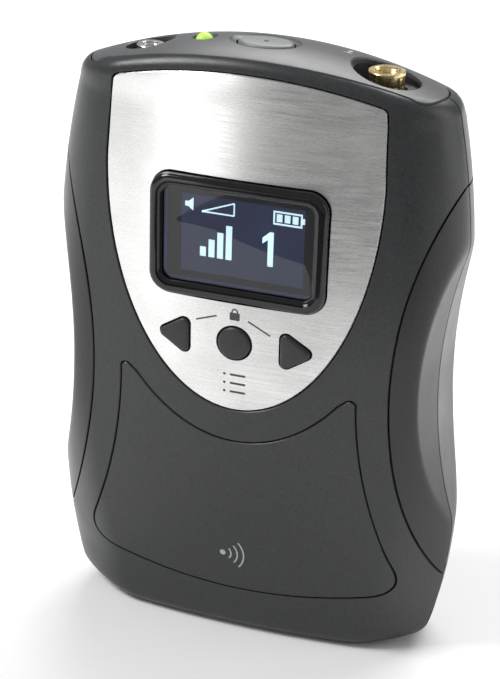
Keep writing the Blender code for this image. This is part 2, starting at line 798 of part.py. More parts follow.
def make_top_cap(forms):
    cap = cut(copy_shape(forms[0], "top_cap"), forms[WALL])
    keep(cap, prism("cap_cutter", cap_outline(-HALF_GAP), CAP_FOOT_Z, FAR_UP, axis="Z"))
    sockets = ((MIC_X, MIC_POCKET_RADIUS, MIC_RING_RADIUS), (LINE_X, LINE_POCKET_RADIUS, LINE_RING_RADIUS))
    for x, pocket_radius, ring_radius in sockets:
        join(cap, top_rod("cup", pocket_radius + 0.8, x, JACK_FLOOR_Z - 1.4, JACK_FLOOR_Z + 0.6, 24))
        cut(cap, top_rod("pocket", pocket_radius, x, JACK_FLOOR_Z, 100, 28))
        cut(cap, top_rod("nose_hole", ring_radius + 0.5, x, 80, 90, 20))
    boss = prism("button_guide", arc((0, TOP_LINE_Y), (5.6, 4.2), 0, 340, 17), 87.2, 89.2, axis="Z")
    join(cap, boss)
    cut(cap, ellipsoid("dish", (0, TOP_LINE_Y, 90.35), (5.2, 3.9, 1.0), 24, 12))
    hole = (POWER_SIZE[0] + GAP, POWER_SIZE[1] + GAP)
    cut(cap, prism("button_hole", arc((0, TOP_LINE_Y), hole, 0, 345, 23), 80, 100, axis="Z"))
    cut(cap, top_rod("led_hole", LED_RADIUS + GAP, LED_X, 80, 100, 16))
    return finish_part(cap, "top_cap", "cap_grey")


def make_case_screws():
    """Pan-head screws from the back, each with a cross recess."""
    names = ("upper", "lower")
    profile = ((0, 10.6), (1.5, 10.6), (1.7, 10.2), (1.7, 9.1), (0.8, 9.1), (0.8, -4.2), (0, -4.6))
    for place, (x, z) in zip(names, SCREW_PLACES):
        for side, word in ((-1, "left"), (1, "right")):
            screw = turned("screw", profile, (0, 0, 0), axis="Z", steps=12)
            for width, depth in ((0.35, 1.1), (1.1, 0.35)):
                cut(screw, box("cross", (-width, -depth, 10.0), (width, depth, 12)))
            screw.data.transform(Matrix.Rotation(-math.pi / 2, 4, "X"))
            screw.data.transform(Matrix.Translation(Vector((side * x, 0, z)) * MM))
            finish_part(screw, f"case_screw_{place}_{word}", "screw_black")


# ---------------------------------------------------------------- display and front buttons

def make_display():
    outline = rounded_rectangle(*BEZEL_SIZE, BEZEL_CORNER, (0, DISPLAY_Z))
    bezel = prism("bezel", outline, BEZEL_FRONT_Y, BEZEL_BACK_Y)
    bevel(bezel, 0.6, 2)
    opening = rounded_rectangle(*BEZEL_OPENING, BEZEL_OPENING_CORNER, (0, DISPLAY_Z))
    cut(bezel, prism("bezel_opening", opening, -20, 0))
    finish_part(bezel, "display_bezel", "gloss_black")
    lens_size = [side - 2 * GAP for side in BEZEL_OPENING]
    lens = prism("lens", rounded_rectangle(*lens_size, 1.2, (0, DISPLAY_Z)), -10.5, -9.8)
    finish_part(lens, "display_lens", "lens_smoke")
    module = box("module", (-12.2, MODULE_Y[0], DISPLAY_Z - 8.2), (12.2, MODULE_Y[1], DISPLAY_Z + 8.2))
    glass = box("glass", (-11.0, -9.45, DISPLAY_Z - 6.9), (11.0, -9.0, DISPLAY_Z + 6.9))
    finish_part(join(module, glass), "display_module", "display_blue")


def make_front_buttons():
    front = (0, BUTTON_FRONT_Y, BUTTON_Z)
    centre = cylinder("button_round", ROUND_BUTTON_RADIUS, front, (0, BUTTON_BACK_Y, BUTTON_Z), 24)
    bevel(centre, 0.35, 2)
    finish_part(centre, "button_round", "button_black", pivot=front)
    arrow = prism("button_right", arrow_outline(0), BUTTON_FRONT_Y + 0.1, BUTTON_BACK_Y + 0.1)
    bevel(arrow, 0.3, 2)
    left = mirrored(arrow, "button_left")
    middle = (ARROW_EDGE_X + ARROW_TIP_X) / 2
    finish_part(arrow, "button_right", "button_black", pivot=(middle, BUTTON_FRONT_Y, BUTTON_Z))
    finish_part(left, "button_left", "button_black", pivot=(-middle, BUTTON_FRONT_Y, BUTTON_Z))
    mat = prism("keypad_mat", rounded_rectangle(26, 9, 2, (0, BUTTON_Z)), *MAT_Y)
    finish_part(mat, "keypad_mat", "silicone")
    half = 2.1
    face, back = SWITCH_Y
    for name, x in (("left", -8.4), ("centre", 0), ("right", 8.4)):
        body = box("switch", (x - half, face + 0.2, BUTTON_Z - half), (x + half, back, BUTTON_Z + half))
        plunger = cylinder("plunger", 1.1, (x, face, BUTTON_Z), (x, back - 0.15, BUTTON_Z), 16)
        finish_part(join(body, plunger), f"switch_{name}", "nickel")


# ---------------------------------------------------------------- top controls and sockets

def make_power_button():
    outline = arc((0, TOP_LINE_Y), POWER_SIZE, 0, 345, 23)
    button = prism("power_button", outline, *POWER_Z, axis="Z")
    bevel(button, 0.3, 2)
    finish_part(button, "power_button", "power_grey", pivot=(0, TOP_LINE_Y, POWER_Z[1]))
    body = box("power_switch", (-3, TOP_LINE_Y - 3, 81.7), (3, TOP_LINE_Y + 3, 85.2))
    plunger = top_rod("plunger", 1.6, 0, 85.0, 86.3, 20)
    finish_part(join(body, plunger), "power_switch", "nickel")


def make_status_light():
    foot = 85.3
    dome = arc((0, LED_TOP_Z - LED_RADIUS), (LED_RADIUS, LED_RADIUS), 90, 0, 4)
    profile = dome + [(LED_RADIUS, foot), (0, foot)]
    lens = turned("led_lens", profile, (LED_X, TOP_LINE_Y, 0), steps=14)
    finish_part(lens, "led_lens", "led_green", pivot=(LED_X, TOP_LINE_Y, foot))
    body = box("led_body", (LED_X - 1.6, TOP_LINE_Y - 1.6, 81.7), (LED_X + 1.6, TOP_LINE_Y + 1.6, 85.0))
    finish_part(body, "led_body", "part_black")


def make_socket(name, x, ring_z, ring_radius, bore_radius, material):
    """A turned socket nose in a moulded body that stands on the main board."""
    foot = 74.0
    profile = (
        (bore_radius, foot + 0.8), (bore_radius, ring_z - 0.45), (bore_radius + 0.35, ring_z),
        (ring_radius - 0.15, ring_z), (ring_radius, ring_z - 0.2), (ring_radius, ring_z - 0.65),
        (ring_radius - 0.4, ring_z - 0.85), (ring_radius - 0.4, ring_z - 1.15),
        (ring_radius, ring_z - 1.35), (ring_radius, foot), (0, foot),
    )
    nose = turned(f"{name}_nose", ((0, foot + 0.8),) + profile, (x, TOP_LINE_Y, 0), steps=20)
    finish_part(nose, f"{name}_nose", material, pivot=(x, TOP_LINE_Y, ring_z))
    body = box(f"{name}_body", (x - 3.6, -5.8, 72.0), (x + 3.6, 3.8, 83.6))
    cut(body, top_rod("barrel_hole", ring_radius + GAP, x, 73.7, 90, 24))
    finish_part(body, f"{name}_body", "part_black")


def make_boards():
    main = box("main_board", (-16.5, BOARD_Y[0], 43), (16.5, BOARD_Y[1], 78))
    finish_part(main, "main_board", "board_green")
    switch_board = box("switch_board", (-12.6, -5.6, 80.6), (12.6, 4.5, 81.4))
    finish_part(switch_board, "switch_board", "board_green")
    can = box("rf_shield_can", (-11.5, -5.8, 72.2), (11.5, -3.4, 79.6))
    finish_part(bevel(can, 0.3, 1), "rf_shield_can", "nickel")
    chip = box("processor_chip", (-9.5, -8.0, 74.0), (-3.5, -7.2, 77.6))
    finish_part(chip, "processor_chip", "part_black")
    crystal = box("crystal_can", (2.5, -8.0, 74.4), (7.5, -7.2, 77.0))
    finish_part(bevel(crystal, 0.25, 1), "crystal_can", "nickel")


# ---------------------------------------------------------------- cells and contacts

def make_cell(name, x, foot, upside_down):
    nub = 1.0
    can = CELL_LENGTH - nub
    profile = [
        (0, CELL_LENGTH), (2.6, CELL_LENGTH), (2.6, can), (6.6, can), (CELL_RADIUS, can - 0.7),
        (CELL_RADIUS, 0.5), (6.8, 0), (0, 0),
    ]
    cell = turned(name, profile, (0, 0, 0), steps=20)
    if upside_down:
        cell.data.transform(Matrix.Rotation(math.pi, 4, "X"))
        cell.data.transform(Matrix.Translation(Vector((0, 0, CELL_LENGTH)) * MM))
    cell.data.transform(Matrix.Translation(Vector((x, CELL_Y, foot)) * MM))
    finish_part(cell, name, "cell_wrap")


def coil_points(centre, radii, heights, turns, steps):
    points = []
    for step in range(turns * steps + 1):
        share = step / (turns * steps)
        angle = 2 * math.pi * step / steps
        radius = radii[0] + (radii[1] - radii[0]) * share
        points.append((
            centre[0] + radius * math.cos(angle), centre[1] + radius * math.sin(angle),
            heights[0] + (heights[1] - heights[0]) * share))
    return points


def make_contacts():
    """The two cells point opposite ways, so each end has one coil spring and one plate."""
    wire = 0.35
    floor = BAY_Z[0] + BAY_WALL + GAP
    roof = BAY_Z[1] - BAY_WALL - GAP
    coil_height = 5.7
    centre_left = (-CELL_X, CELL_Y)
    centre_right = (CELL_X, CELL_Y)
    lower = coil_points(centre_left, (4.2, 2.2), (floor + wire, floor + coil_height - wire), 3, 10)
    finish_part(tube("lower_spring", lower, wire), "lower_cell_spring", "spring_steel")
    upper = coil_points(centre_right, (4.2, 2.2), (roof - wire, roof - coil_height + wire), 3, 10)
    finish_part(tube("upper_spring", upper, wire), "upper_cell_spring", "spring_steel")
    make_cell("cell_left", -CELL_X, floor + coil_height + GAP, False)
    make_cell("cell_right", CELL_X, floor + 0.4 + GAP, True)
    for name, x, low in (("upper", -CELL_X, roof - 0.4), ("lower", CELL_X, floor)):
        plate = box("plate", (x - 4.5, CELL_Y - 4, low), (x + 4.5, CELL_Y + 4, low + 0.4))
        finish_part(plate, f"{name}_contact_plate", "nickel")


# ---------------------------------------------------------------- belt clip

def clip_outline():
    """Side view of the sprung lever, as (y, z): thumb tab, straight leg, hooked toe."""
    inner, outer = CLIP_Y
    leg = [(inner, 64.5), (inner, 34.0)]
    toe = [(15.6, 27.5), (13.0, 24.0), (12.2, 22.0), (12.6, 20.4), (14.4, 18.4)]
    toe_back = [(15.6, 19.4), (14.0, 21.2), (13.9, 22.2), (14.6, 23.6), (17.0, 27.4)]
    leg_back = [(outer, 33.4), (outer, 65.0)]
    return leg + toe + toe_back + leg_back


def side_prism(name, outline, half_width_x):
    """An outline in (y, z) made solid across x."""
    flat = prism(name, [(-z, y) for y, z in outline], -half_width_x, half_width_x, axis="Z")
    flat.data.transform(Matrix(((0, 0, 1, 0), (0, 1, 0, 0), (-1, 0, 0, 0), (0, 0, 0, 1))))
    return flat


def make_clip_bracket():
    """A steel saddle on the door: a flat foot with two upright ears."""
    foot_y = BACK_DEPTH + GAP
    bracket = box("bracket", (-6.6, foot_y, BRACKET_Z[0]), (6.6, foot_y + 0.9, BRACKET_Z[1]))
    pin_y, pin_z = CLIP_PIN
    for side in (-1, 1):
        low, high = sorted((side * 5.4, side * 6.6))
        ear = cylinder("ear", 1.5, (low, pin_y, pin_z), (high, pin_y, pin_z), 14)
        web = box("web", (low, foot_y, pin_z - 3.0), (high, pin_y, pin_z + 3.0))
        join(bracket, web, ear)
    cut(bracket, cylinder("pin_hole", 1.0, (-20, pin_y, pin_z), (20, pin_y, pin_z), 12))
    return finish_part(bracket, "clip_bracket", "spring_steel")


def make_belt_clip():
    pin_y, pin_z = CLIP_PIN
    clip = side_prism("belt_clip", clip_outline(), CLIP_HALF_WIDTH)
    for side in (-1, 1):
        low, high = sorted((side * 7.0, side * (CLIP_HALF_WIDTH - 0.3)))
        cheek = cylinder("cheek", 1.7, (low, pin_y, pin_z), (high, pin_y, pin_z), 14)
        web = box("cheek_web", (low, pin_y, pin_z - 1.7), (high, CLIP_Y[0] + 0.5, pin_z + 1.7))
        join(clip, web, cheek)
    join(clip, box("belt_pad", BELT_PAD_LOW, BELT_PAD_HIGH))
    cut(clip, cylinder("pin_hole", 1.0, (-20, pin_y, pin_z), (20, pin_y, pin_z), 12))
    return finish_part(clip, "belt_clip", "coated_steel", pivot=(0, pin_y, pin_z))


def make_clip_pin():
    pin_y, pin_z = CLIP_PIN
    reach = CLIP_HALF_WIDTH - 0.5
    pin = cylinder("clip_pin", 0.7, (-reach, pin_y, pin_z), (reach, pin_y, pin_z), 16)
    return finish_part(pin, "clip_pin", "spring_steel", pivot=(0, pin_y, pin_z))


def make_clip_spring():
    """A torsion spring round the pin, with a leg on the bracket and a leg on the lever."""
    pin_y, pin_z = CLIP_PIN
    radius = 1.35
    wire = 0.28
    turns = 4
    steps = 10
    reach = 2.4
    leg_z = pin_z - 5.0
    points = [(-reach, pin_y - 1.6, leg_z)]
    for step in range(turns * steps + 1):
        angle = math.pi / 2 + 2 * math.pi * step / steps
        x = -reach + 2 * reach * step / (turns * steps)
        points.append((x, pin_y - radius * math.sin(angle), pin_z + radius * math.cos(angle)))
    points.append((reach, pin_y - 0.2, leg_z))
    spring = tube("clip_spring", points, wire)
    return finish_part(spring, "clip_spring", "spring_steel", pivot=(0, pin_y, pin_z))


# ---------------------------------------------------------------- build

def build():
    forms = {inset: case_form(inset) for inset in (0, INLAY, POCKET, WALL, BAY_LIMIT)}
    make_front_shell(forms)
    make_back_shell(forms)
    make_battery_door(forms)
    make_top_cap(forms)
    make_face_plate(forms)
    make_label_panel(forms)
    make_grips(forms)
    make_display()
    make_front_buttons()
    make_power_button()
    make_status_light()
    make_socket("mic_jack", MIC_X, MIC_RING_Z, MIC_RING_RADIUS, 1.8, "gold")
    make_socket("line_jack", LINE_X, LINE_RING_Z, LINE_RING_RADIUS, 1.2, "nickel")
    make_boards()
    make_contacts()
    make_case_screws()
    make_door_hinge_pin()
    make_door_latch()
    make_clip_bracket()
    make_belt_clip()
    make_clip_pin()
    make_clip_spring()


clear_scene()
PARTS = new_collection(OBJECT_NAME)
CUTTERS = new_collection("cutters")
FINISHES = {name: make_material(name) for name in MATERIALS}
build()
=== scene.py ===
"""The look of the bodypack transmitter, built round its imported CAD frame.

Shapes are drawn in millimetres in the same way as the CAD: x to the right, the front towards -y,
and y = 0 where the front and back shells part. finish_piece moves each one into the CAD frame.
"""

import json
import math

import bmesh
import bpy
import numpy as np
from mathutils import Matrix, Vector
from mathutils.bvhtree import BVHTree
from mathutils.geometry import barycentric_transform

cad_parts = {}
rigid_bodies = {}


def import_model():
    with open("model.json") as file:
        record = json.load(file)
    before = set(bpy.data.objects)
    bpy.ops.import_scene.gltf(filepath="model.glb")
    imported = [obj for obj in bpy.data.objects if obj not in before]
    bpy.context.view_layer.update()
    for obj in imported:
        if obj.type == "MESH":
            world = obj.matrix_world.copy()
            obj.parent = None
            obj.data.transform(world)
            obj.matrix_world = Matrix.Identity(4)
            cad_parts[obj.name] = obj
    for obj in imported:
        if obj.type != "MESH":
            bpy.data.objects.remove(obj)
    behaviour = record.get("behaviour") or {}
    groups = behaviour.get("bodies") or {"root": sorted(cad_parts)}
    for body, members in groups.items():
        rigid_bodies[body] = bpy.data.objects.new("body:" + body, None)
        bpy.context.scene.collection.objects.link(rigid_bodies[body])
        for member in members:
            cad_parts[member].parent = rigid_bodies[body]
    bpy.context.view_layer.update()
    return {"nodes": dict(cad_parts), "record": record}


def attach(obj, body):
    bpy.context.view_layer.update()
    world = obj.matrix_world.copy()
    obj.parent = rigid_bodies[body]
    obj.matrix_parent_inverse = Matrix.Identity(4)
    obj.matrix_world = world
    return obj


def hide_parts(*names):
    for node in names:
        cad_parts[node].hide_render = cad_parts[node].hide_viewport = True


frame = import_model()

MM = 0.001
FOOT_CENTRE = Vector((0.0, 2.8, -0.8))
TO_FRAME = Matrix.Scale(MM, 4) @ Matrix.Translation(-FOOT_CENTRE)

# Outer form of the case
TOP_PEAK = 90.4
TOP_FALL_X = 0.0076
TOP_FALL_Y = 0.02
TOP_CREST_Y = -1.8
FOOT_SLICE_Z = 2.0
BOTTOM_FLAT = 14.5
BOTTOM_RISE = 0.012
WIDEST = 31.0
WIDEST_Z = 40.2
UPPER_TAPER = 4.2e-5
LOWER_TAPER = 1.6e-6
UPPER_DRAW = 0.0005
LOWER_DRAW = 0.039
LOWER_DRAW_POWER = 1.25
FRONT_DEPTH = 11.0
BACK_DEPTH = 11.7
CROWN_X = 0.0035
CROWN_Z = 0.0018
CROWN_CENTRE_Z = 54.2
SIDE_ROUND = 7.7
TOP_ROUND = 1.4
BOTTOM_ROUND = 1.8
LEAST_ROUND = 0.3
LOW_LEVEL = 8.0
HIGH_LEVEL = 81.5
TOP_LEVEL = TOP_PEAK - 6.0

# Waist, and the arcs that run parallel to it
WAIST_CENTRE_X = 96.2
WAIST_CENTRE_Z = 43.2
WAIST_RADIUS = 69.0
WAIST_FRONT_DRAFT = 2.6
WAIST_BACK_DRAFT = 0.6
WAIST_REACH = 20.0
WAIST_BLEND = 0.5
WAIST_START_X = 15
GRIP_CENTRE_X = 90.4
GRIP_RADIUS = 68.0
GRIP_SEAM_RISE = 33.5
LABEL_SIDE_RADIUS = 72.6

# Walls, inlays and seams
WALL = 1.7
INLAY = 0.7
POCKET = 1.0
BAY_LIMIT = 2.1
HALF_SEAM = 0.09
GROOVE = 0.22
FINE_STEP = 0.25
EDGE_STEPS = 5
KEY_GAP = 0.26

# How near to the form a corner lies, and how alike in direction, to take a smooth normal from it
ON_FORM = 0.004
SAME_WAY = 0.8

# Ends of the cutting blocks and rays, clear of the case, and the depths and levels where cuts stop
FAR = 60
FAR_ROUND = 90
FAR_FRONT = -20
FAR_DOWN = -10
FAR_UP = 120
PLATE_CUT_Y = -4
LABEL_CUT_Y = -3
WINDOW_CUT_Y = -7.3
BUTTON_CUT_Y = -8
CAP_HOLE_Z = 82.2
CAP_FOOT_Z = 82.6
CAP_CUT_TOP = 100

# Face plate, label panel and display
PLATE_HALF_WIDTH = 20.3
PLATE_TOP_HALF_WIDTH = 19.8
PLATE_TOP_Z = 87.7
PLATE_TOP_FALL = 0.0069
PLATE_ARC_Z = 74.0
PLATE_ARC_DROP = 35.8
LABEL_GROW_X = 5.0
LABEL_ARC_DROP = 41.0
LABEL_BASE_Z = 6.6
LABEL_BASE_RISE = 0.006
DISPLAY_Z = 64.0
BEZEL_SIZE = (26.0, 17.8)
BEZEL_CORNER = 3.0
BEZEL_FRONT_Y = -11.5
BEZEL_BACK_Y = -9.5
BUTTON_Z = 48.9
ROUND_BUTTON_RADIUS = 2.45
ARROW_EDGE_X = 6.85
ARROW_TIP_X = 11.2
ARROW_HALF_HEIGHT = 2.55
BUTTON_FRONT_Y = -11.35
BUTTON_BACK_Y = -9.0

# Top cap and what stands in it
CAP_TIP_X = 25.7
CAP_HALF_DEPTH = 8.4
CAP_FALL = 0.0052
CAP_END_ROUND = 3.6
TOP_LINE_Y = -1.0
JACK_FLOOR_Z = 85.4
MIC_X = 17.3
LINE_X = -17.0
LED_X = -9.0
LED_RADIUS = 1.25
LED_TOP_Z = 90.3
POWER_SIZE = (4.0, 2.6)
POWER_Z = (87.0, 90.2)
POWER_GAP = 0.28
GUIDE_SIZE = (5.6, 4.2)
GUIDE_Z = (87.2, 89.2)
DISH_SIZE = (5.2, 3.9, 1.0)
DISH_Z = 90.35
SOCKET_FOOT_Z = 74.0
SOCKET_BORE_Z = 75.0

# Back
BAY_HALF_WIDTH = 17.2
BAY_Z = (11.2, 71.4)
DOOR_Z = (13.35, 73.05)
HINGE_Y = 10.7
HINGE_Z = 14.4
HINGE_HALF = 22.3
LATCH_Z = (66.2, 73.0)
LATCH_HALF_WIDTH = 5.0
SCREW_PLACES = ((24.0, 77.0), (20.0, 7.5))
CELL_X = 7.9
CELL_Y = 2.3
CELL_RADIUS = 7.25
CELL_LENGTH = 50.5
CLIP_PIN = (15.3, 57.0)
CLIP_HALF_WIDTH = 9.0
CLIP_Y = (17.2, 18.6)
PIN_HOLE_RADIUS = 1.0
PIN_RADIUS = 0.7
CELL_WIRE_RADIUS = 0.35
CLIP_WIRE_RADIUS = 0.28

# Camera: where it looks, from which angles and how far
CAMERA_TARGET = (2.474, -14.1, 50.875)
CAMERA_AZIMUTH = 19.062
CAMERA_ELEVATION = 24.451
CAMERA_ROLL = 1.698
CAMERA_DISTANCE = 294.19
CAMERA_LENS = 111.37


# ---- solids

def new_collection(name):
    collection = bpy.data.collections.new(name)
    bpy.context.scene.collection.children.link(collection)
    return collection


WORKSHOP = new_collection("workshop")
SHOWN = new_collection("look")


def add_shape(name, mesh):
    shape = bpy.data.objects.new(name, mesh)
    WORKSHOP.objects.link(shape)
    return shape


def solid(name, points, faces):
    mesh = bpy.data.meshes.new(name)
    mesh.from_pydata([tuple(point) for point in points], [], faces)
    bm = bmesh.new()
    bm.from_mesh(mesh)
    bmesh.ops.recalc_face_normals(bm, faces=bm.faces)
    bm.to_mesh(mesh)
    bm.free()
    return add_shape(name, mesh)


def evaluated_mesh(shape):
    bpy.context.view_layer.update()
    graph = bpy.context.evaluated_depsgraph_get()
    return bpy.data.meshes.new_from_object(shape.evaluated_get(graph))


def applied(shape):
    """Turn the modifiers on a shape into its mesh."""
    mesh = evaluated_mesh(shape)
    shape.modifiers.clear()
    shape.data = mesh
    return shape


def boolean(shape, other, operation):
    modifier = shape.modifiers.new("boolean", "BOOLEAN")
    modifier.operation = operation
    modifier.solver = "MANIFOLD"
    modifier.object = other
    applied(shape)
    if not shape.data.polygons:
        raise RuntimeError(f"{shape.name} is empty after {operation} with {other.name}")
    return shape


def cut(shape, *others):
    for other in others:
        boolean(shape, other, "DIFFERENCE")
    return shape


def keep(shape, other):
    return boolean(shape, other, "INTERSECT")


def join(shape, *others):
    for other in others:
        boolean(shape, other, "UNION")
    return shape


def copy_shape(shape, name):
    return add_shape(name, shape.data.copy())


def mirrored(shape, name):
    mesh = shape.data.copy()
    mesh.transform(Matrix.Scale(-1, 4, Vector((1, 0, 0))))
    mesh.flip_normals()
    return add_shape(name, mesh)


def shift(shape, place):
    shape.data.transform(Matrix.Translation(place))
    return shape


def lay_down(shape):
    """Turn a shape about x so that its upper end points to the back."""
    shape.data.transform(Matrix.Rotation(-math.pi / 2, 4, "X"))
    return shape


def bevel(shape, width, segments, angle=40):
    modifier = shape.modifiers.new("bevel", "BEVEL")
    modifier.width = width
    modifier.segments = segments
    modifier.limit_method = "ANGLE"
    modifier.angle_limit = math.radians(angle)
    return applied(shape)


def box(name, low, high):
    points = [(x, y, z) for x in (low[0], high[0]) for y in (low[1], high[1]) for z in (low[2], high[2])]
    faces = [(0, 1, 3, 2), (4, 6, 7, 5), (0, 4, 5, 1), (2, 3, 7, 6), (0, 2, 6, 4), (1, 5, 7, 3)]
    return solid(name, points, faces)


def tube_faces(rings, count, closed=False):
    """Quads between successive rings of equal length."""
    faces = []
    for ring in range(rings if closed else rings - 1):
        here = ring * count
        there = (ring + 1) % rings * count
        for index in range(count):
            after = (index + 1) % count
            faces.append((here + index, here + after, there + after, there + index))
    return faces


def loft(name, rings):
    """A closed solid through rings of points, with flat ends."""
    count = len(rings[0])
    points = [point for ring in rings for point in ring]
    last = (len(rings) - 1) * count
    ends = [tuple(range(count)), tuple(range(last, last + count))]
    return solid(name, points, tube_faces(len(rings), count) + ends)


def lift(outline, level, axis):
    """Place a flat outline at a level along one axis."""
    if axis == "X":
        return [(level, a, b) for a, b in outline]
    if axis == "Y":
        return [(a, level, b) for a, b in outline]
    return [(a, b, level) for a, b in outline]


def prism(name, outline, low, high, axis="Y"):
    return loft(name, [lift(outline, low, axis), lift(outline, high, axis)])


def frame_ring(name, outline, profile, axis="Y"):
    """A ring-shaped solid: the profile holds (grow, level) pairs round its section."""
    rings = [lift(outline(grow), level, axis) for grow, level in profile]
    points = [point for ring in rings for point in ring]
    return solid(name, points, tube_faces(len(rings), len(rings[0]), closed=True))


def round_edge(radius):
    """Pairs (inwards, down) along a quarter round, from the side to the top."""
    turns = [math.pi / 2 * step / EDGE_STEPS for step in range(EDGE_STEPS + 1)]
    return [(radius * (1 - math.cos(turn)), radius * (1 - math.sin(turn))) for turn in turns]


def rounded_slab(name, outline, back, front, radius, axis="Y"):
    """An outline made solid from back to front, with a rounded front edge."""
    away = 1 if back > front else -1
    rings = [lift(outline(0), back, axis)]
    rings += [lift(outline(-inwards), front + away * down, axis) for inwards, down in round_edge(radius)]
    return loft(name, rings)


def revolve(name, profile, centre, steps=64, axis="Z"):
    """A turned solid. A profile entry is (radius, height) or (radius, height, depth of its notches)."""
    rings = []
    for radius, height, *notch in profile:
        ring = []
        for step in range(steps):
            turn = 2 * math.pi * step / steps
            reach = max(radius, 0.01) - (notch[0] if notch and step // 4 % 2 else 0)
            ring.append((reach * math.cos(turn), reach * math.sin(turn), height))
        rings.append(ring)
    shape = loft(name, rings)
    if axis == "Y":
        lay_down(shape)
    return shift(shape, centre)


def span(side, near, far):
    """The low and the high x of something between two distances on one side."""
    return sorted((side * near, side * far))


def rod(name, radius, start, end, steps=48):
    axis = Vector(end) - Vector(start)
    shape = revolve(name, ((radius, 0), (radius, axis.length)), (0, 0, 0), steps)
    turn = Vector((0, 0, 1)).rotation_difference(axis).to_matrix().to_4x4()
    shape.data.transform(turn)
    return shift(shape, start)


def wire(name, points, radius):
    """A round wire along a list of points."""
    curve = bpy.data.curves.new(name, "CURVE")
    curve.dimensions = "3D"
    curve.bevel_depth = radius
    curve.bevel_resolution = 3
    curve.use_fill_caps = True
    spline = curve.splines.new("POLY")
    spline.points.add(len(points) - 1)
    for point, place in zip(spline.points, points):
        point.co = (*place, 1)
    guide = bpy.data.objects.new(name, curve)
    WORKSHOP.objects.link(guide)
    return add_shape(name, evaluated_mesh(guide))


# ---- outlines

def arc(centre, radii, start, end, steps):
    points = []
    for step in range(steps + 1):
        angle = math.radians(start + (end - start) * step / steps)
        points.append((centre[0] + radii[0] * math.cos(angle), centre[1] + radii[1] * math.sin(angle)))
    return points


def oval(centre, radii, steps=60):
    return arc(centre, radii, 0, 360 - 360 / steps, steps - 1)


def turn_corner(before, corner, after, steps=6):
    """A smooth curve from one point to another that rounds off a corner."""
    points = []
    for step in range(steps + 1):
        t = step / steps
        weights = ((1 - t) ** 2, 2 * t * (1 - t), t * t)
        points.append(tuple(
            sum(w * p[i] for w, p in zip(weights, (before, corner, after))) for i in (0, 1)))
    return points


def both_sides(half):
    return half + [(-x, z) for x, z in reversed(half) if x > 0.001]


def rounded_rectangle(width, height, corner, centre, steps):
    outline = []
    for turn, (side, rise) in enumerate(((1, 1), (-1, 1), (-1, -1), (1, -1))):
        middle = (centre[0] + side * (width / 2 - corner), centre[1] + rise * (height / 2 - corner))
        outline += arc(middle, (corner, corner), turn * 90, turn * 90 + 90, steps)
    return outline


def plate_outline(grow):
    lower = arc((0, PLATE_ARC_Z), (PLATE_HALF_WIDTH + grow, PLATE_ARC_DROP + grow), -90, 0, 48)
    corner = PLATE_TOP_HALF_WIDTH + grow

    def top(x):
        return (x, PLATE_TOP_Z + grow - PLATE_TOP_FALL * x * x)

    peak = top(corner)
    bend = turn_corner((corner + 0.03, peak[1] - 0.9), peak, top(corner - 0.9))
    upper = [top((corner - 0.9) * (1 - step / 20)) for step in range(1, 21)]
    return both_sides(lower + bend + upper)


def grip_line(radius, z):
    """A point at a height on a circle round the grips' centre."""
    return (GRIP_CENTRE_X - math.sqrt(radius ** 2 - (z - WAIST_CENTRE_Z) ** 2), z)


def label_outline(grow):
    side = LABEL_SIDE_RADIUS - grow

    def base(x):
        return (x, LABEL_BASE_Z - grow + LABEL_BASE_RISE * x * x)

    def flank(z):
        return grip_line(side, z)

    corner = base(25.0)
    for _ in range(8):
        corner = base(flank(corner[1])[0])
    base_end = corner[0] - 4.6
    flank_low = corner[1] + 4.4
    half = [base(base_end * step / 20) for step in range(20)]
    half += turn_corner(base(base_end), corner, flank(flank_low), 8)
    half += [flank(flank_low + (41.0 - flank_low) * step / 24) for step in range(1, 25)]
    half += arc((17.0, 41.5), (0.9 + grow, 0.9 + grow), 15, 130, 6)
    for step in range(1, 25):
        x = 15.9 * (1 - step / 24)
        drop = (LABEL_ARC_DROP - grow) * math.sqrt(1 - (x / (PLATE_HALF_WIDTH + LABEL_GROW_X)) ** 2)
        half.append((x, PLATE_ARC_Z - drop))
    return both_sides(half)


def cap_outline(grow):
    quarter = []
    tip = CAP_TIP_X + grow
    for step in range(20):
        x = (tip - CAP_END_ROUND) * step / 19
        quarter.append((x, CAP_HALF_DEPTH + grow - CAP_FALL * x * x))
    end_depth = quarter[-1][1]
    quarter += arc((tip - CAP_END_ROUND, 0), (CAP_END_ROUND, end_depth), 80, 0, 14)
    right = quarter + [(x, -y) for x, y in reversed(quarter) if y > 0.001]
    return right + [(-x, y) for x, y in reversed(right) if x > 0.001]


def arrow_outline(grow):
    corner = 0.8
    centres = (
        (ARROW_EDGE_X + corner, BUTTON_Z + ARROW_HALF_HEIGHT - corner, 60, 180),
        (ARROW_EDGE_X + corner, BUTTON_Z - ARROW_HALF_HEIGHT + corner, 180, 300),
        (ARROW_TIP_X - corner, BUTTON_Z, -60, 60),
    )
    outline = []
    for x, z, start, end in centres:
        outline += arc((x, z), (corner + grow, corner + grow), start, end, 8)
    return outline


def bezel_outline(grow):
    width, height = BEZEL_SIZE
    return rounded_rectangle(
        width + 2 * grow, height + 2 * grow, BEZEL_CORNER + grow * 0.8, (0, DISPLAY_Z), 12)


def round_button_outline(grow):
    radius = ROUND_BUTTON_RADIUS + grow
    return oval((0, BUTTON_Z), (radius, radius))


def power_outline(grow):
    return oval((0, TOP_LINE_Y), (POWER_SIZE[0] + grow, POWER_SIZE[1] + grow))


# ---- case form

def half_width(z):
    upper = WIDEST - UPPER_TAPER * np.abs(z - WIDEST_Z) ** 3
    lower = WIDEST - LOWER_TAPER * (WIDEST_Z - z) ** 4
    return np.where(z > WIDEST_Z, upper, lower)


def front_depth(x, z):
    return FRONT_DEPTH - CROWN_X * x * x - CROWN_Z * (z - CROWN_CENTRE_Z) ** 2


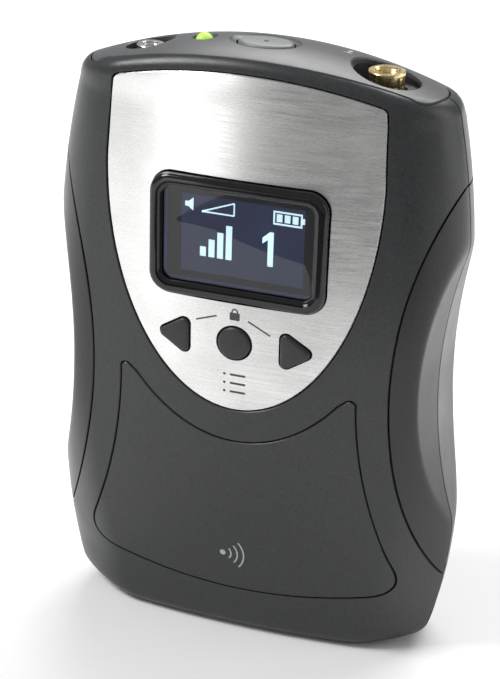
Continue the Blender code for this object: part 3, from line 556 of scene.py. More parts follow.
def front_draw(z):
    upper = UPPER_DRAW * (z - WIDEST_Z) ** 2
    lower = LOWER_DRAW * np.abs(z - WIDEST_Z) ** LOWER_DRAW_POWER
    return np.where(z > WIDEST_Z, upper, lower) / half_width(z)


def top_height(x, y):
    return TOP_PEAK - TOP_FALL_X * x * x - TOP_FALL_Y * (y - TOP_CREST_Y) ** 2


def bottom_height(x):
    return FOOT_CENTRE[2] + BOTTOM_RISE * np.maximum(0.0, np.abs(x) - BOTTOM_FLAT) ** 2


def waist_limit(y, z, inset):
    draft = np.where(y < 0, -WAIST_FRONT_DRAFT * y, WAIST_BACK_DRAFT * y) / WAIST_REACH
    reach = (WAIST_RADIUS + inset + draft) ** 2 - (z - WAIST_CENTRE_Z) ** 2
    return WAIST_CENTRE_X - np.sqrt(reach)


def pinch(points, inset):
    """Draw the points in to the waist, with a small round at the crease."""
    x, y, z = points.T
    limit = waist_limit(y, z, inset)
    reach = np.abs(x)
    overlap = np.maximum(WAIST_BLEND - np.abs(reach - limit), 0) / WAIST_BLEND
    drawn = np.minimum(reach, limit) - overlap ** 2 * WAIST_BLEND / 4
    drawn = np.where(reach > WAIST_START_X, drawn, reach)
    return np.column_stack((np.sign(x) * drawn, y, z))


def ring_pattern(turns, flats):
    """For each point of a slice: shares of the flat and of the round, depth share, side and face."""
    quarter = [(1.0, math.cos(a), math.sin(a)) for a in np.linspace(0, math.pi / 2, turns + 1)]
    quarter += [(1 - step / flats, 0.0, 1.0) for step in range(1, flats + 1)]
    right = [(*point, 1) for point in quarter]
    half = right + [(*point, -1) for point in reversed(quarter[:-1])]
    front = [(*point, -1) for point in half]
    back = [(*point, 1) for point in half]
    return np.array(front + list(reversed(back[1:-1]))).T


def slice_at(level, shrink, pattern):
    along, bend, share, side, face = pattern
    x = (half_width(level) - SIDE_ROUND) * along + (SIDE_ROUND - shrink) * bend
    x = np.where(face < 0, x * (1 - front_draw(level) * share), x)
    depth = np.where(face < 0, front_depth(x, level), BACK_DEPTH) - shrink
    return side * x, face * depth * share


def ease(start, end, span, share):
    """A smooth curve from start to end whose slope along the span is one at both ends."""
    rise = end - start
    a = span - rise
    return start + rise * share + share * (1 - share) * ((1 - share) * a - share * a)


def edge_turn(inset, radius, angles):
    """Pairs (inwards, along) round the foot's or the top's rounded edge."""
    return [(inset + radius * (1 - math.sin(a)), inset + radius * (1 - math.cos(a))) for a in angles]


def eased_rings(inset, pattern, levels, heights):
    """Rings from one height to another whose slices ease from one level to another."""
    rings = []
    rise = heights[1] - heights[0]
    for share in np.linspace(0, 1, 8)[1:-1]:
        x, y = slice_at(ease(*levels, rise, share), inset, pattern)
        rings.append(np.column_stack((x, y, heights[0] + rise * share)))
    return rings


def form_rings(inset, pattern, step):
    rings = []
    foot_round = max(BOTTOM_ROUND - inset, LEAST_ROUND)
    for shrink, rise in edge_turn(inset, foot_round, np.linspace(0, math.pi / 2, 9)):
        x, y = slice_at(FOOT_SLICE_Z + rise, shrink, pattern)
        rings.append(np.column_stack((x, y, bottom_height(x) + rise)))
    low_level = FOOT_SLICE_Z + inset + foot_round
    rings += eased_rings(inset, pattern, (low_level, LOW_LEVEL), (rings[-1][:, 2], LOW_LEVEL))
    for level in np.linspace(LOW_LEVEL, HIGH_LEVEL, round((HIGH_LEVEL - LOW_LEVEL) / step) + 1):
        x, y = slice_at(level, inset, pattern)
        rings.append(np.column_stack((x, y, np.full(len(x), level))))
    top_round = max(TOP_ROUND - inset, LEAST_ROUND)
    shoulder = TOP_LEVEL - inset - top_round
    end = top_height(*slice_at(shoulder, inset, pattern)) - inset - top_round
    rings += eased_rings(inset, pattern, (HIGH_LEVEL, shoulder), (HIGH_LEVEL, end))
    for shrink, drop in edge_turn(inset, top_round, np.linspace(math.pi / 2, 0, 7)):
        x, y = slice_at(TOP_LEVEL - drop, shrink, pattern)
        rings.append(np.column_stack((x, y, top_height(x, y) - drop)))
    return rings


def end_grid(points, ring, start, height, columns):
    """Add a grid across a ring whose inner points follow the given height."""
    count = len(ring)
    half = count // 2
    rows = [[start] * (columns + 1)]
    for index in range(1, half):
        row = [start + index]
        for column in range(1, columns):
            place = ring[index] + (ring[count - index] - ring[index]) * column / columns
            row.append(len(points))
            points.append((place[0], place[1], float(height(place[0], place[1]))))
        rows.append(row + [start + count - index])
    rows.append([start + half] * (columns + 1))
    faces = []
    for row, after in zip(rows, rows[1:]):
        for column in range(columns):
            corners = (row[column], row[column + 1], after[column + 1], after[column])
            faces.append(tuple(dict.fromkeys(corners)))
    return faces


def case_form(inset, turns=10, flats=6, step=3.0, columns=6):
    rings = form_rings(inset, ring_pattern(turns, flats), step)
    count = len(rings[0])
    points = [tuple(point) for ring in rings for point in ring]
    faces = tube_faces(len(rings), count)
    faces += end_grid(points, rings[0], 0, lambda x, y: bottom_height(x) + inset, 2)
    last = (len(rings) - 1) * count
    faces += end_grid(points, rings[-1], last, lambda x, y: top_height(x, y) - inset, columns)
    return solid("form", pinch(np.array(points), inset), faces)


class Skin:
    """The fine outer form, and its smooth normals to lend to the pieces cut from it."""

    def __init__(self, form):
        mesh = form.data
        mesh.calc_loop_triangles()
        self.points = [vertex.co.copy() for vertex in mesh.vertices]
        self.normals = [Vector(n.vector) for n in mesh.vertex_normals]
        self.triangles = [tuple(t.vertices) for t in mesh.loop_triangles]
        self.tree = BVHTree.FromPolygons(self.points, self.triangles)

    def smooth_normal(self, place):
        """The smooth normal at a place on the form, or None away from it."""
        found, _, index, distance = self.tree.find_nearest(place)
        if distance > ON_FORM:
            return None
        a, b, c = self.triangles[index]
        normal = barycentric_transform(
            found, self.points[a], self.points[b], self.points[c],
            self.normals[a], self.normals[b], self.normals[c])
        return normal.normalized()

    def hit(self, start, direction):
        place, normal, _, _ = self.tree.ray_cast(Vector(start), Vector(direction))
        return (place, normal) if place else None


def corner_normals(mesh):
    """Normals for each face corner, taken from the smooth form where the piece lies on it."""
    on_form = [SKIN.smooth_normal(vertex.co) for vertex in mesh.vertices]
    normals = [Vector(n.vector) for n in mesh.corner_normals]
    for face in mesh.polygons:
        for loop, vertex in zip(face.loop_indices, face.vertices):
            smooth = on_form[vertex]
            if smooth and smooth.dot(face.normal) > SAME_WAY:
                normals[loop] = smooth
    return normals


def finish_piece(shape, name, slot, body="root", look=None, extra=False, sharp=35, on_form=False):
    """Give a piece its look, move it into the CAD frame and let it stand for its CAD node.

    The look is that of the slot unless one is named. An extra piece has no CAD node of its own.
    """
    shape.name = f"{name}_look"
    WORKSHOP.objects.unlink(shape)
    SHOWN.objects.link(shape)
    mesh = shape.data
    mesh.materials.clear()
    mesh.materials.append(LOOKS[look or slot])
    mesh.shade_smooth()
    mesh.set_sharp_from_angle(angle=math.radians(sharp))
    normals = corner_normals(mesh) if on_form else None
    mesh.transform(TO_FRAME)
    if normals:
        mesh.normals_split_custom_set(normals)
    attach(shape, body)
    if not extra:
        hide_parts(name)


# ---- seams

def groove_cutter(name, path, closed=True):
    """A diamond-shaped bar along a path of (place, normal) that chamfers both sides of a seam."""
    rings = []
    count = len(path)
    for index, (place, normal) in enumerate(path):
        before = path[(index - 1) % count][0] if closed or index else place
        after = path[(index + 1) % count][0] if closed or index < count - 1 else place
        along = (after - before).normalized()
        side = along.cross(normal).normalized()
        rings.append([
            place + side * GROOVE, place + normal * GROOVE, place - side * GROOVE, place - normal * GROOVE])
    if not closed:
        return loft(name, rings)
    points = [point for ring in rings for point in ring]
    return solid(name, points, tube_faces(count, 4, closed=True))


def spaced(path, step=0.5):
    """Drop the points of a path that lie closer together than the step."""
    kept = [path[0]]
    for item in path[1:]:
        if (item[0] - kept[-1][0]).length > step:
            kept.append(item)
    return kept


def front_rays(outline):
    return [((x, -FAR, z), (0, 1, 0)) for x, z in outline]


def top_rays(outline):
    return [((x, y, FAR_UP), (0, 0, -1)) for x, y in outline]


def skin_path(rays, step=0.5):
    hits = [SKIN.hit(*ray) for ray in rays]
    return spaced([hit for hit in hits if hit], step)


def parting_path():
    turns = [math.radians(degrees) for degrees in range(360)]
    outwards = [Vector((math.cos(turn), 0, math.sin(turn))) for turn in turns]
    centre = Vector((0, 0, WAIST_CENTRE_Z))
    return skin_path([(centre + out * FAR_ROUND, -out) for out in outwards])


def girdle_path(z):
    """Round the back at one height, from a little in front of the parting on each side."""
    turns = [math.radians(degrees) for degrees in range(-8, 189)]
    outwards = [Vector((math.cos(turn), math.sin(turn), 0)) for turn in turns]
    return skin_path([(Vector((0, 0, z)) + out * FAR, -out) for out in outwards])


def grip_path():
    """Along the grip's seam, from above to below, back to the parting at both ends."""
    heights = [WAIST_CENTRE_Z + GRIP_SEAM_RISE * (1 - step / 400) for step in range(801)]
    outline = [grip_line(GRIP_RADIUS, z) for z in heights]
    hits = [SKIN.hit(*ray) for ray in front_rays(outline)]
    return spaced([hit for hit in hits if hit and hit[0].y < 0.5])


# ---- materials

LOOKS = {}


def new_look(name):
    """A node material, filed under its name, with its tree and its shader."""
    LOOKS[name] = bpy.data.materials.new(name)
    LOOKS[name].use_nodes = True
    tree = LOOKS[name].node_tree
    return tree, tree.nodes["Principled BSDF"]


def set_inputs(node, **values):
    """Plain values for inputs, with underscores for the spaces in their names."""
    for key, value in values.items():
        node.inputs[key.replace("_", " ")].default_value = value


def add_node(tree, kind, **values):
    node = tree.nodes.new(kind)
    set_inputs(node, **values)
    return node


def object_coordinates(tree, stretch):
    """Object coordinates in millimetres, stretched along the axes."""
    place = add_node(tree, "ShaderNodeTexCoord")
    mapping = add_node(tree, "ShaderNodeMapping", Scale=[factor / MM for factor in stretch])
    tree.links.new(place.outputs["Object"], mapping.inputs["Vector"])
    return mapping.outputs["Vector"]


def noise(tree, scale, detail=3.0, stretch=(1, 1, 1)):
    texture = add_node(tree, "ShaderNodeTexNoise", Scale=scale, Detail=detail, Roughness=0.6)
    tree.links.new(object_coordinates(tree, stretch), texture.inputs["Vector"])
    return texture.outputs["Fac"]


def ramp(tree, value, low, high, start=0.3, end=0.7):
    """Map a noise value to a range of plain values."""
    mapped = add_node(
        tree, "ShaderNodeMapRange", From_Min=start, From_Max=end, To_Min=low, To_Max=high)
    tree.links.new(value, mapped.inputs["Value"])
    return mapped.outputs["Result"]


def scaled(colour, factor):
    return [channel * factor for channel in colour]


def tint(tree, shader, value, first, second, socket="Base Color"):
    """Let a noise value mix two colours into an input of the shader."""
    mix = add_node(tree, "ShaderNodeMix")
    mix.data_type = "RGBA"
    # This node keeps its colours in inputs 6 and 7 and output 2.
    mix.inputs[6].default_value = (*first, 1)
    mix.inputs[7].default_value = (*second, 1)
    tree.links.new(ramp(tree, value, 0, 1), mix.inputs[0])
    tree.links.new(mix.outputs[2], shader.inputs[socket])


def roughen(tree, shader, value, low, high, start=0.3, end=0.7):
    tree.links.new(ramp(tree, value, low, high, start, end), shader.inputs["Roughness"])


def add_bump(tree, shader, height, strength, distance):
    bump = add_node(tree, "ShaderNodeBump", Strength=strength, Distance=distance)
    tree.links.new(height, bump.inputs["Height"])
    tree.links.new(bump.outputs["Normal"], shader.inputs["Normal"])


def plastic(name, colour, roughness, grain=2.6, depth=0.03, speckle=0.25):
    """Moulded plastic with a spark-eroded grain, a fine speckle and slow patches of wear."""
    tree, shader = new_look(name)
    fine = noise(tree, grain, 2.0)
    tint(tree, shader, fine, scaled(colour, 1 - speckle), scaled(colour, 1 + speckle))
    roughen(tree, shader, noise(tree, 0.12, 3.0), roughness - 0.04, roughness + 0.05)
    add_bump(tree, shader, fine, 0.5, depth * MM)


def metal(name, colour, roughness, scale, stretch=(1, 1, 1), depth=0.004, across=0.0):
    """Bare or plated metal with fine marks. Brushing along x smears its highlights across, along z."""
    tree, shader = new_look(name)
    marks = noise(tree, scale, 4.0, stretch)
    tint(tree, shader, noise(tree, 0.15, 2.0), scaled(colour, 0.88), colour)
    roughen(tree, shader, marks, roughness - 0.05, roughness + 0.08)
    add_bump(tree, shader, marks, 0.4, depth * MM)
    set_inputs(shader, Metallic=1.0, Anisotropic=across)
    upright = add_node(tree, "ShaderNodeCombineXYZ", Z=1.0)
    tree.links.new(upright.outputs["Vector"], shader.inputs["Tangent"])


def glossy(name, colour, roughness):
    """Polished plastic with a faint waviness and fine dust marks in its gloss."""
    tree, shader = new_look(name)
    slow = noise(tree, 0.2, 2.0)
    tint(tree, shader, slow, scaled(colour, 0.7), colour)
    roughen(tree, shader, noise(tree, 3.0, 2.0), roughness, roughness + 0.08, 0.5, 0.8)
    add_bump(tree, shader, slow, 0.1, 0.02 * MM)


def glass(name):
    tree, shader = new_look(name)
    tint(tree, shader, noise(tree, 0.1), (0.92, 0.93, 0.97), (0.97, 0.97, 1.0))
    roughen(tree, shader, noise(tree, 2.0, 2.0), 0.01, 0.02, 0.5, 0.8)
    set_inputs(shader, Transmission_Weight=1.0, IOR=1.45)


def lit(name, colour, glow, strength):
    """A part that gives light, slightly uneven as a backlight is."""
    tree, shader = new_look(name)
    slow = noise(tree, 0.15)
    tint(tree, shader, slow, scaled(glow, 0.8), glow, "Emission Color")
    tint(tree, shader, slow, scaled(colour, 0.9), colour)
    set_inputs(shader, Emission_Strength=strength, Roughness=0.3)


def make_looks():
    """A look for each slot of the record, under the slot's name, and some for the extra pieces."""
    plastic("case_plastic", (0.026, 0.0275, 0.029), 0.34)
    plastic("grip_plastic", (0.015, 0.0155, 0.017), 0.30)
    plastic("cap_plastic", (0.075, 0.077, 0.080), 0.36, grain=3.5, depth=0.012, speckle=0.12)
    plastic("key_plastic", (0.022, 0.023, 0.025), 0.42, grain=3.5, depth=0.01)
    plastic("power_key", (0.20, 0.205, 0.205), 0.36, grain=3.5, depth=0.01, speckle=0.06)
    plastic("moulded_black", (0.018, 0.018, 0.020), 0.5)
    plastic("display_black", (0.004, 0.004, 0.005), 0.6, grain=3.5, depth=0.002)
    plastic("coated_steel", (0.020, 0.020, 0.022), 0.36, grain=3.2, depth=0.012)
    plastic("silicone", (0.16, 0.16, 0.17), 0.65, grain=1.5)
    plastic("print_grey", (0.055, 0.055, 0.058), 0.5, grain=4.0, depth=0.002)
    plastic("print_light", (0.42, 0.43, 0.43), 0.5, grain=4.0, depth=0.002)
    metal("brushed_plate", (0.80, 0.80, 0.79), 0.25, 1.6, (0.035, 1, 2.2), 0.010, 0.8)
    metal("gold_plate", (0.88, 0.72, 0.40), 0.22, 1.5, (0.3, 0.3, 4))
    metal("nickel_plate", (0.72, 0.71, 0.69), 0.2, 1.5, (0.3, 0.3, 4))
    metal("spring_steel", (0.58, 0.58, 0.60), 0.24, 1.5)
    metal("screw_black", (0.07, 0.07, 0.075), 0.34, 2.0)
    metal("cell_wrap", (0.55, 0.40, 0.10), 0.3, 0.8, (1, 1, 0.1))
    glossy("bezel_gloss", (0.006, 0.006, 0.007), 0.06)
    glossy("circuit_board", (0.015, 0.11, 0.05), 0.35)
    glass("display_glass")
    lit("display_panel", (0.006, 0.009, 0.022), (0.012, 0.020, 0.060), 0.7)
    lit("display_glyph", (0.6, 0.8, 0.85), (0.62, 0.86, 0.92), 1.0)
    lit("led_green", (0.45, 0.75, 0.10), (0.40, 0.70, 0.05), 0.5)


def dress_cad_nodes():
    """CAD nodes that stay in view take the finish of their record slot."""
    for part in frame["record"]["subparts"]:
        node = frame["nodes"][part["node"]]
        node.data.materials.clear()
        node.data.materials.append(LOOKS[part["material_slot"]])


# ---- case pieces

def rear_block():
    return box("rear_half", (-FAR, -HALF_SEAM, FAR_DOWN), (FAR, FAR, FAR_UP))


def front_block():
    return box("front_half", (-FAR, -FAR, FAR_DOWN), (FAR, HALF_SEAM, FAR_UP))


def grip_cutter(grow, end=-HALF_SEAM):
    start = (GRIP_CENTRE_X, -WAIST_REACH, WAIST_CENTRE_Z)
    return rod("grip_cutter", GRIP_RADIUS + grow, start, (GRIP_CENTRE_X, end, WAIST_CENTRE_Z), 720)


def front_cutter(outline, end=BUTTON_CUT_Y):
    return prism("front_cutter", outline, FAR_FRONT, end)


def cap_cutter(grow, low):
    return prism("cap_cutter", cap_outline(grow), low, CAP_CUT_TOP, "Z")


def cut_seams(shape, *names):
    return cut(shape, *(GROOVES[name] for name in names))


def pocket_for(cutter):
    return cut(cutter, FORMS[POCKET])


def inlay_from(cutter, name):
    return cut(keep(copy_shape(FORMS[0], name), cutter), FORMS[INLAY])


def front_openings():
    window = front_cutter(bezel_outline(HALF_SEAM * 2), WINDOW_CUT_Y)
    middle = front_cutter(round_button_outline(KEY_GAP))
    arrow = front_cutter(arrow_outline(KEY_GAP))
    return window, middle, arrow, mirrored(arrow, "arrow_cutter_left")


def make_front_shell():
    shell = cut(copy_shape(FORMS[0], "front_shell"), FORMS[WALL], rear_block())
    grip = grip_cutter(HALF_SEAM, 0.5)
    plate = front_cutter(plate_outline(HALF_SEAM), PLATE_CUT_Y)
    label = front_cutter(label_outline(HALF_SEAM), LABEL_CUT_Y)
    left = mirrored(grip, "grip_cutter_left")
    cut(shell, pocket_for(grip), pocket_for(left), pocket_for(plate), pocket_for(label))
    cut(shell, cap_cutter(HALF_SEAM, CAP_HOLE_Z), *front_openings())
    cut_seams(shell, "plate", "label", "right_grip", "left_grip", "cap", "parting")
    finish_piece(shell, "front_shell", "case_plastic", on_form=True)


def make_inlays():
    plate = inlay_from(front_cutter(plate_outline(-HALF_SEAM), PLATE_CUT_Y), "plate")
    cut_seams(cut(plate, *front_openings()), "plate")
    finish_piece(plate, "face_plate", "brushed_plate", on_form=True)
    label = inlay_from(front_cutter(label_outline(-HALF_SEAM), LABEL_CUT_Y), "label")
    cut_seams(label, "label")
    finish_piece(label, "label_panel", "case_plastic", on_form=True)
    cutter = grip_cutter(-HALF_SEAM)
    for side, tool in (("right", cutter), ("left", mirrored(cutter, "grip_cutter_left"))):
        name = f"{side}_grip"
        grip = cut_seams(inlay_from(tool, name), name, "parting")
        finish_piece(grip, name, "grip_plastic", on_form=True)


def screw_bores(shell):
    for x, z in SCREW_PLACES:
        for side in (-1, 1):
            boss = rod("boss", 2.4, (side * x, 0.15, z), (side * x, 11.4, z), 32)
            join(shell, keep(boss, FORMS[INLAY]))
            cut(shell, rod("hole", 1.4, (side * x, -1, z), (side * x, 20, z), 32))
            cut(shell, rod("seat", 2.0, (side * x, 8.8, z), (side * x, 20, z), 48))
            rim = revolve("rim", ((1.9, 10.9), (2.9, 11.9)), (side * x, 0, z), 48, "Y")
            cut(shell, rim)


def hinge_rod(name, radius, low, high):
    return rod(name, radius, (low, HINGE_Y, HINGE_Z), (high, HINGE_Y, HINGE_Z), 32)


def battery_bay():
    outer = box("bay", (-BAY_HALF_WIDTH, -5.8, BAY_Z[0]), (BAY_HALF_WIDTH, 9.7, BAY_Z[1]))
    inside = BAY_HALF_WIDTH - 1.2
    cut(outer, box("bay_space", (-inside, -5.2, BAY_Z[0] + 1.2), (inside, 20, BAY_Z[1] - 1.2)))
    keep(outer, FORMS[BAY_LIMIT])
    ledge = box("ledge", (-18, 8.3, BAY_Z[1] - 1.0), (18, 9.7, 78))
    upper_tie = box("upper_tie", (-18, 9.4, 74.0), (18, 10.9, 77.0))
    lower_tie = box("lower_tie", (-18, 8.9, 9.0), (18, 10.9, 12.1))
    return join(outer, ledge, upper_tie, lower_tie)


def hinge_lug(side):
    low, high = span(side, HINGE_HALF + 0.35, HINGE_HALF + 2.0)
    foot = box("lug_foot", (low + 0.1, HINGE_Y - 0.85, 10.5), (high - 0.1, HINGE_Y + 0.7, HINGE_Z - 0.1))
    return join(hinge_rod("lug", 0.95, low, high), foot)


def make_back_shell():
    shell = cut(copy_shape(FORMS[0], "back_shell"), FORMS[WALL], front_block())
    cut(shell, box("door_space", (-FAR, -10, DOOR_Z[0] - 0.3), (FAR, FAR, DOOR_Z[1] + 0.3)))
    join(shell, battery_bay())
    screw_bores(shell)
    cut(shell, hinge_rod("trough", 1.3, -27, 27))
    join(shell, hinge_lug(1), hinge_lug(-1))
    cut(shell, cap_cutter(HALF_SEAM, CAP_HOLE_Z))
    cut_seams(shell, "parting", "cap", "door_top", "door_base")
    finish_piece(shell, "back_shell", "case_plastic", on_form=True)


def make_battery_door():
    door = cut(copy_shape(FORMS[0], "door"), FORMS[WALL], front_block())
    keep(door, box("door_block", (-FAR, -10, DOOR_Z[0]), (FAR, FAR, DOOR_Z[1])))
    edge = HINGE_HALF + 2.4
    cut(door, box("hinge_edge", (-27, 8.2, 0), (27, 20, HINGE_Z)))
    cut(door, hinge_rod("lug_room", 1.55, -edge, edge))
    web = box("web", (-HINGE_HALF, 10.3, HINGE_Z), (HINGE_HALF, BACK_DEPTH - 0.01, HINGE_Z + 2.2))
    join(door, join(hinge_rod("roll", 1.0, -HINGE_HALF, HINGE_HALF), web))
    side = LATCH_HALF_WIDTH + 0.3
    cut(door, box("latch_slot", (-side, 9, LATCH_Z[0] - 2.3), (side, 20, 80)))
    cut_seams(door, "parting", "door_top", "door_base")
    finish_piece(door, "battery_door", "case_plastic", "door", on_form=True)


def pocket_outline(x, radius):
    return oval((x, TOP_LINE_Y), (radius, radius), 90)


def make_painted_pocket_shade(name, x, radius, bore):
    """A dark cup of painted shade that lines a socket's pocket, up to just below the top, darkening its
    walls and floor where shade falls.
    """
    floor = JACK_FLOOR_Z + 0.02
    profile = [
        (-0.02, floor), (-0.02, TOP_PEAK), (-0.2, TOP_PEAK), (-0.2, floor + 0.15),
        (bore - radius, floor + 0.15), (bore - radius, floor)]
    shade_cup = frame_ring(name, lambda grow: pocket_outline(x, radius + grow), profile, "Z")
    finish_piece(keep(shade_cup, FORMS[INLAY]), name, "moulded_black", extra=True)


def make_top_cap():
    cap = cut(copy_shape(FORMS[0], "top_cap"), FORMS[WALL])
    keep(cap, cap_cutter(-HALF_SEAM, CAP_FOOT_Z))
    sockets = (("mic", MIC_X, 4.8, 3.0), ("line", LINE_X, 3.5, 2.4))
    for name, x, pocket_radius, bore in sockets:
        # Each pocket is darkened by a cup of painted shade, not by a part of the real cap.
        make_painted_pocket_shade(f"{name}_painted_pocket_shade", x, pocket_radius, bore)
        low = (x, TOP_LINE_Y, JACK_FLOOR_Z - 1.4)
        join(cap, rod("cup", pocket_radius + 0.8, low, (x, TOP_LINE_Y, JACK_FLOOR_Z + 0.6), 64))
        outline = pocket_outline(x, pocket_radius)
        cut(cap, prism("pocket", outline, JACK_FLOOR_Z, CAP_CUT_TOP, "Z"))
        cut(cap, groove_cutter("pocket_edge", skin_path(top_rays(outline), FINE_STEP)))
        cut(cap, rod("bore", bore, (x, TOP_LINE_Y, 80), (x, TOP_LINE_Y, 90), 64))
    join(cap, prism("guide", oval((0, TOP_LINE_Y), GUIDE_SIZE), *GUIDE_Z, "Z"))
    dish = revolve("dish", [
        (math.cos(a), math.sin(a)) for a in np.linspace(-math.pi / 2, math.pi / 2, 25)], (0, 0, 0), 96)
    dish.data.transform(Matrix.Translation((0, TOP_LINE_Y, DISH_Z)) @ Matrix.Diagonal((*DISH_SIZE, 1)))
    cut(cap, dish, prism("button_hole", power_outline(POWER_GAP), 80, CAP_CUT_TOP, "Z"))
    cut(cap, rod("led_hole", LED_RADIUS + 0.2, (LED_X, TOP_LINE_Y, 80), (LED_X, TOP_LINE_Y, CAP_CUT_TOP)))
    cut(cap, revolve("led_rim", ((1.2, 88.6), (2.2, 90.4)), (LED_X, TOP_LINE_Y, 0)))
    cut_seams(cap, "cap")
    finish_piece(cap, "top_cap", "cap_plastic", on_form=True)


# ---- display and keys

def make_display():
    profile = [(0, BEZEL_BACK_Y), (0, -10.7)]
    profile += [(-inwards, BEZEL_FRONT_Y + down) for inwards, down in round_edge(0.8)]
    profile += [(-1.15 - reach, BEZEL_FRONT_Y + 0.7 - down) for down, reach in reversed(round_edge(0.7))]
    profile += [(-1.85, -10.5), (-1.85, BEZEL_BACK_Y)]
    bezel = frame_ring("bezel", bezel_outline, profile)
    finish_piece(bezel, "display_bezel", "bezel_gloss")

    lens = rounded_slab("lens", lambda grow: bezel_outline(grow - 1.95), -9.8, -10.5, 0.15)
    finish_piece(lens, "display_lens", "display_glass")
    module = box("module", (-12.2, -9.2, DISPLAY_Z - 8.2), (12.2, -7.3, DISPLAY_Z + 8.2))
    panel = box("panel", (-11.0, -9.45, DISPLAY_Z - 6.9), (11.0, -9.0, DISPLAY_Z + 6.9))
    join(module, panel)
    finish_piece(module, "display_module", "display_panel")
    mask = box("mask", (-10.7, -9.53, DISPLAY_Z - 6.6), (10.7, -9.46, DISPLAY_Z + 6.6))
    cut(mask, box("mask_window", (-8.7, -11, DISPLAY_Z - 5.6), (9.4, -9, DISPLAY_Z + 5.8)))
    finish_piece(mask, "display_mask", "display_panel", look="display_black", extra=True)


def merged(shapes):
    """Put separate solids into one mesh."""
    bm = bmesh.new()
    for shape in shapes:
        bm.from_mesh(shape.data)
    bm.to_mesh(shapes[0].data)
    bm.free()
    return shapes[0]


def bar(x0, x1, z0, z1):
    return [(x0, z0), (x1, z0), (x1, z1), (x0, z1)]


def outlined(x0, x1, z0, z1, line):
    """The four strokes of a hollow rectangle."""
    return [
        bar(x0, x1, z0, z0 + line), bar(x0, x1, z1 - line, z1),
        bar(x0, x0 + line, z0 + line, z1 - line), bar(x1 - line, x1, z0 + line, z1 - line),
    ]


def make_display_marks():
    z = DISPLAY_Z
    tip, foot, peak = (-5.6, z + 3.5), (-0.9, z + 3.5), (-0.9, z + 5.3)
    marks = [stroke(tip, foot, 0.2), stroke(foot, peak, 0.2), stroke(peak, tip, 0.2)]
    marks += outlined(4.8, 9.0, z + 3.2, z + 5.2, 0.24)
    marks += [bar(9.0, 9.35, z + 3.8, z + 4.6)]
    marks += [bar(5.3 + 1.15 * step, 6.1 + 1.15 * step, z + 3.65, z + 4.75) for step in range(3)]
    speaker = [(-8.1, 4.0), (-7.6, 4.0), (-6.9, 3.4), (-6.9, 5.3), (-7.6, 4.7), (-8.1, 4.7)]
    marks.append([(x, z + height) for x, height in speaker])
    digit = [(4.15, -3.1), (4.95, -3.1), (4.95, 1.95), (4.4, 1.95), (3.35, 1.0), (3.35, 0.15), (4.15, 0.8)]
    marks.append([(x, z + height) for x, height in digit])
    for step in range(4):
        marks.append(bar(-5.8 + 1.27 * step, -4.93 + 1.27 * step, z - 3.1, z - 1.7 + 1.2 * step))
    whole = merged([prism("display_marks", outline, -9.56, -9.5) for outline in marks])
    finish_piece(whole, "display_marks", "display_panel", look="display_glyph", extra=True)


def make_keys():
    front = BUTTON_FRONT_Y
    middle = rounded_slab("button_round", round_button_outline, BUTTON_BACK_Y, front, 0.45)
    finish_piece(middle, "button_round", "key_plastic", "centre_key", sharp=60)
    arrow = rounded_slab("button_right", arrow_outline, BUTTON_BACK_Y + 0.1, front + 0.1, 0.4)
    left = mirrored(arrow, "button_left")
    finish_piece(arrow, "button_right", "key_plastic", "right_key", sharp=60)
    finish_piece(left, "button_left", "key_plastic", "left_key", sharp=60)


# ---- top controls and sockets

def make_top_controls():
    power = rounded_slab("power_button", power_outline, POWER_Z[0], POWER_Z[1], 0.5, "Z")
    finish_piece(power, "power_button", "power_key", "power_key", sharp=60)
    top = POWER_Z[1]
    mark = prism("power_mark", oval((0, TOP_LINE_Y), (0.36, 0.36), 24), top - 0.05, top + 0.02, "Z")
    finish_piece(mark, "power_mark", "power_key", "power_key", look="moulded_black", extra=True)
    dome = [
        (LED_RADIUS * math.cos(a), LED_TOP_Z - LED_RADIUS + LED_RADIUS * math.sin(a))
        for a in np.linspace(math.pi / 2, 0, 13)]
    led = revolve("led", dome + [(LED_RADIUS, 85.3)], (LED_X, TOP_LINE_Y, 0))
    finish_piece(led, "led_lens", "led_green")


def make_socket(name, x, top, ring_radius, bore_radius, slot):
    """A turned nose: flat ring, undercut and notched barrel round a threaded bore."""
    thread = []
    for turn in range(5):
        root = top - 1.9 + 0.32 * turn
        thread += [(bore_radius, root), (bore_radius - 0.14, root + 0.16)]
    profile = [(0.01, SOCKET_BORE_Z), (bore_radius, SOCKET_BORE_Z)] + thread + [
        (bore_radius, top - 0.3), (bore_radius + 0.04, top - 0.05), (bore_radius + 0.1, top),
        (ring_radius - 0.1, top), (ring_radius, top - 0.1), (ring_radius, top - 0.42),
        (ring_radius - 0.3, top - 0.46), (ring_radius - 0.3, top - 0.56),
        (ring_radius - 0.02, top - 0.6, 0.32), (ring_radius - 0.02, top - 1.9, 0.32),
        (ring_radius - 0.15, top - 2.0), (ring_radius - 0.15, SOCKET_FOOT_Z), (0.01, SOCKET_FOOT_Z),
    ]
    nose = revolve(name, profile, (x, TOP_LINE_Y, 0), 96)
    finish_piece(nose, f"{name}_nose", slot)


# ---- back, cells and clip

def make_screws():
    profile = (
        (0.01, 10.6), (1.0, 10.58), (1.35, 10.5), (1.6, 10.3), (1.7, 10.05), (1.7, 9.1), (0.8, 9.1),
        (0.8, -4.2), (0.01, -4.6))
    for place, (x, z) in zip(("upper", "lower"), SCREW_PLACES):
        for side, word in ((-1, "left"), (1, "right")):
            screw = revolve("screw", profile, (0, 0, 0), 48)
            for width, depth in ((0.28, 1.1), (1.1, 0.28)):
                cut(screw, box("cross", (-width, -depth, 9.9), (width, depth, 12)))
            shift(lay_down(screw), (side * x, 0, z))
            finish_piece(screw, f"case_screw_{place}_{word}", "screw_black")


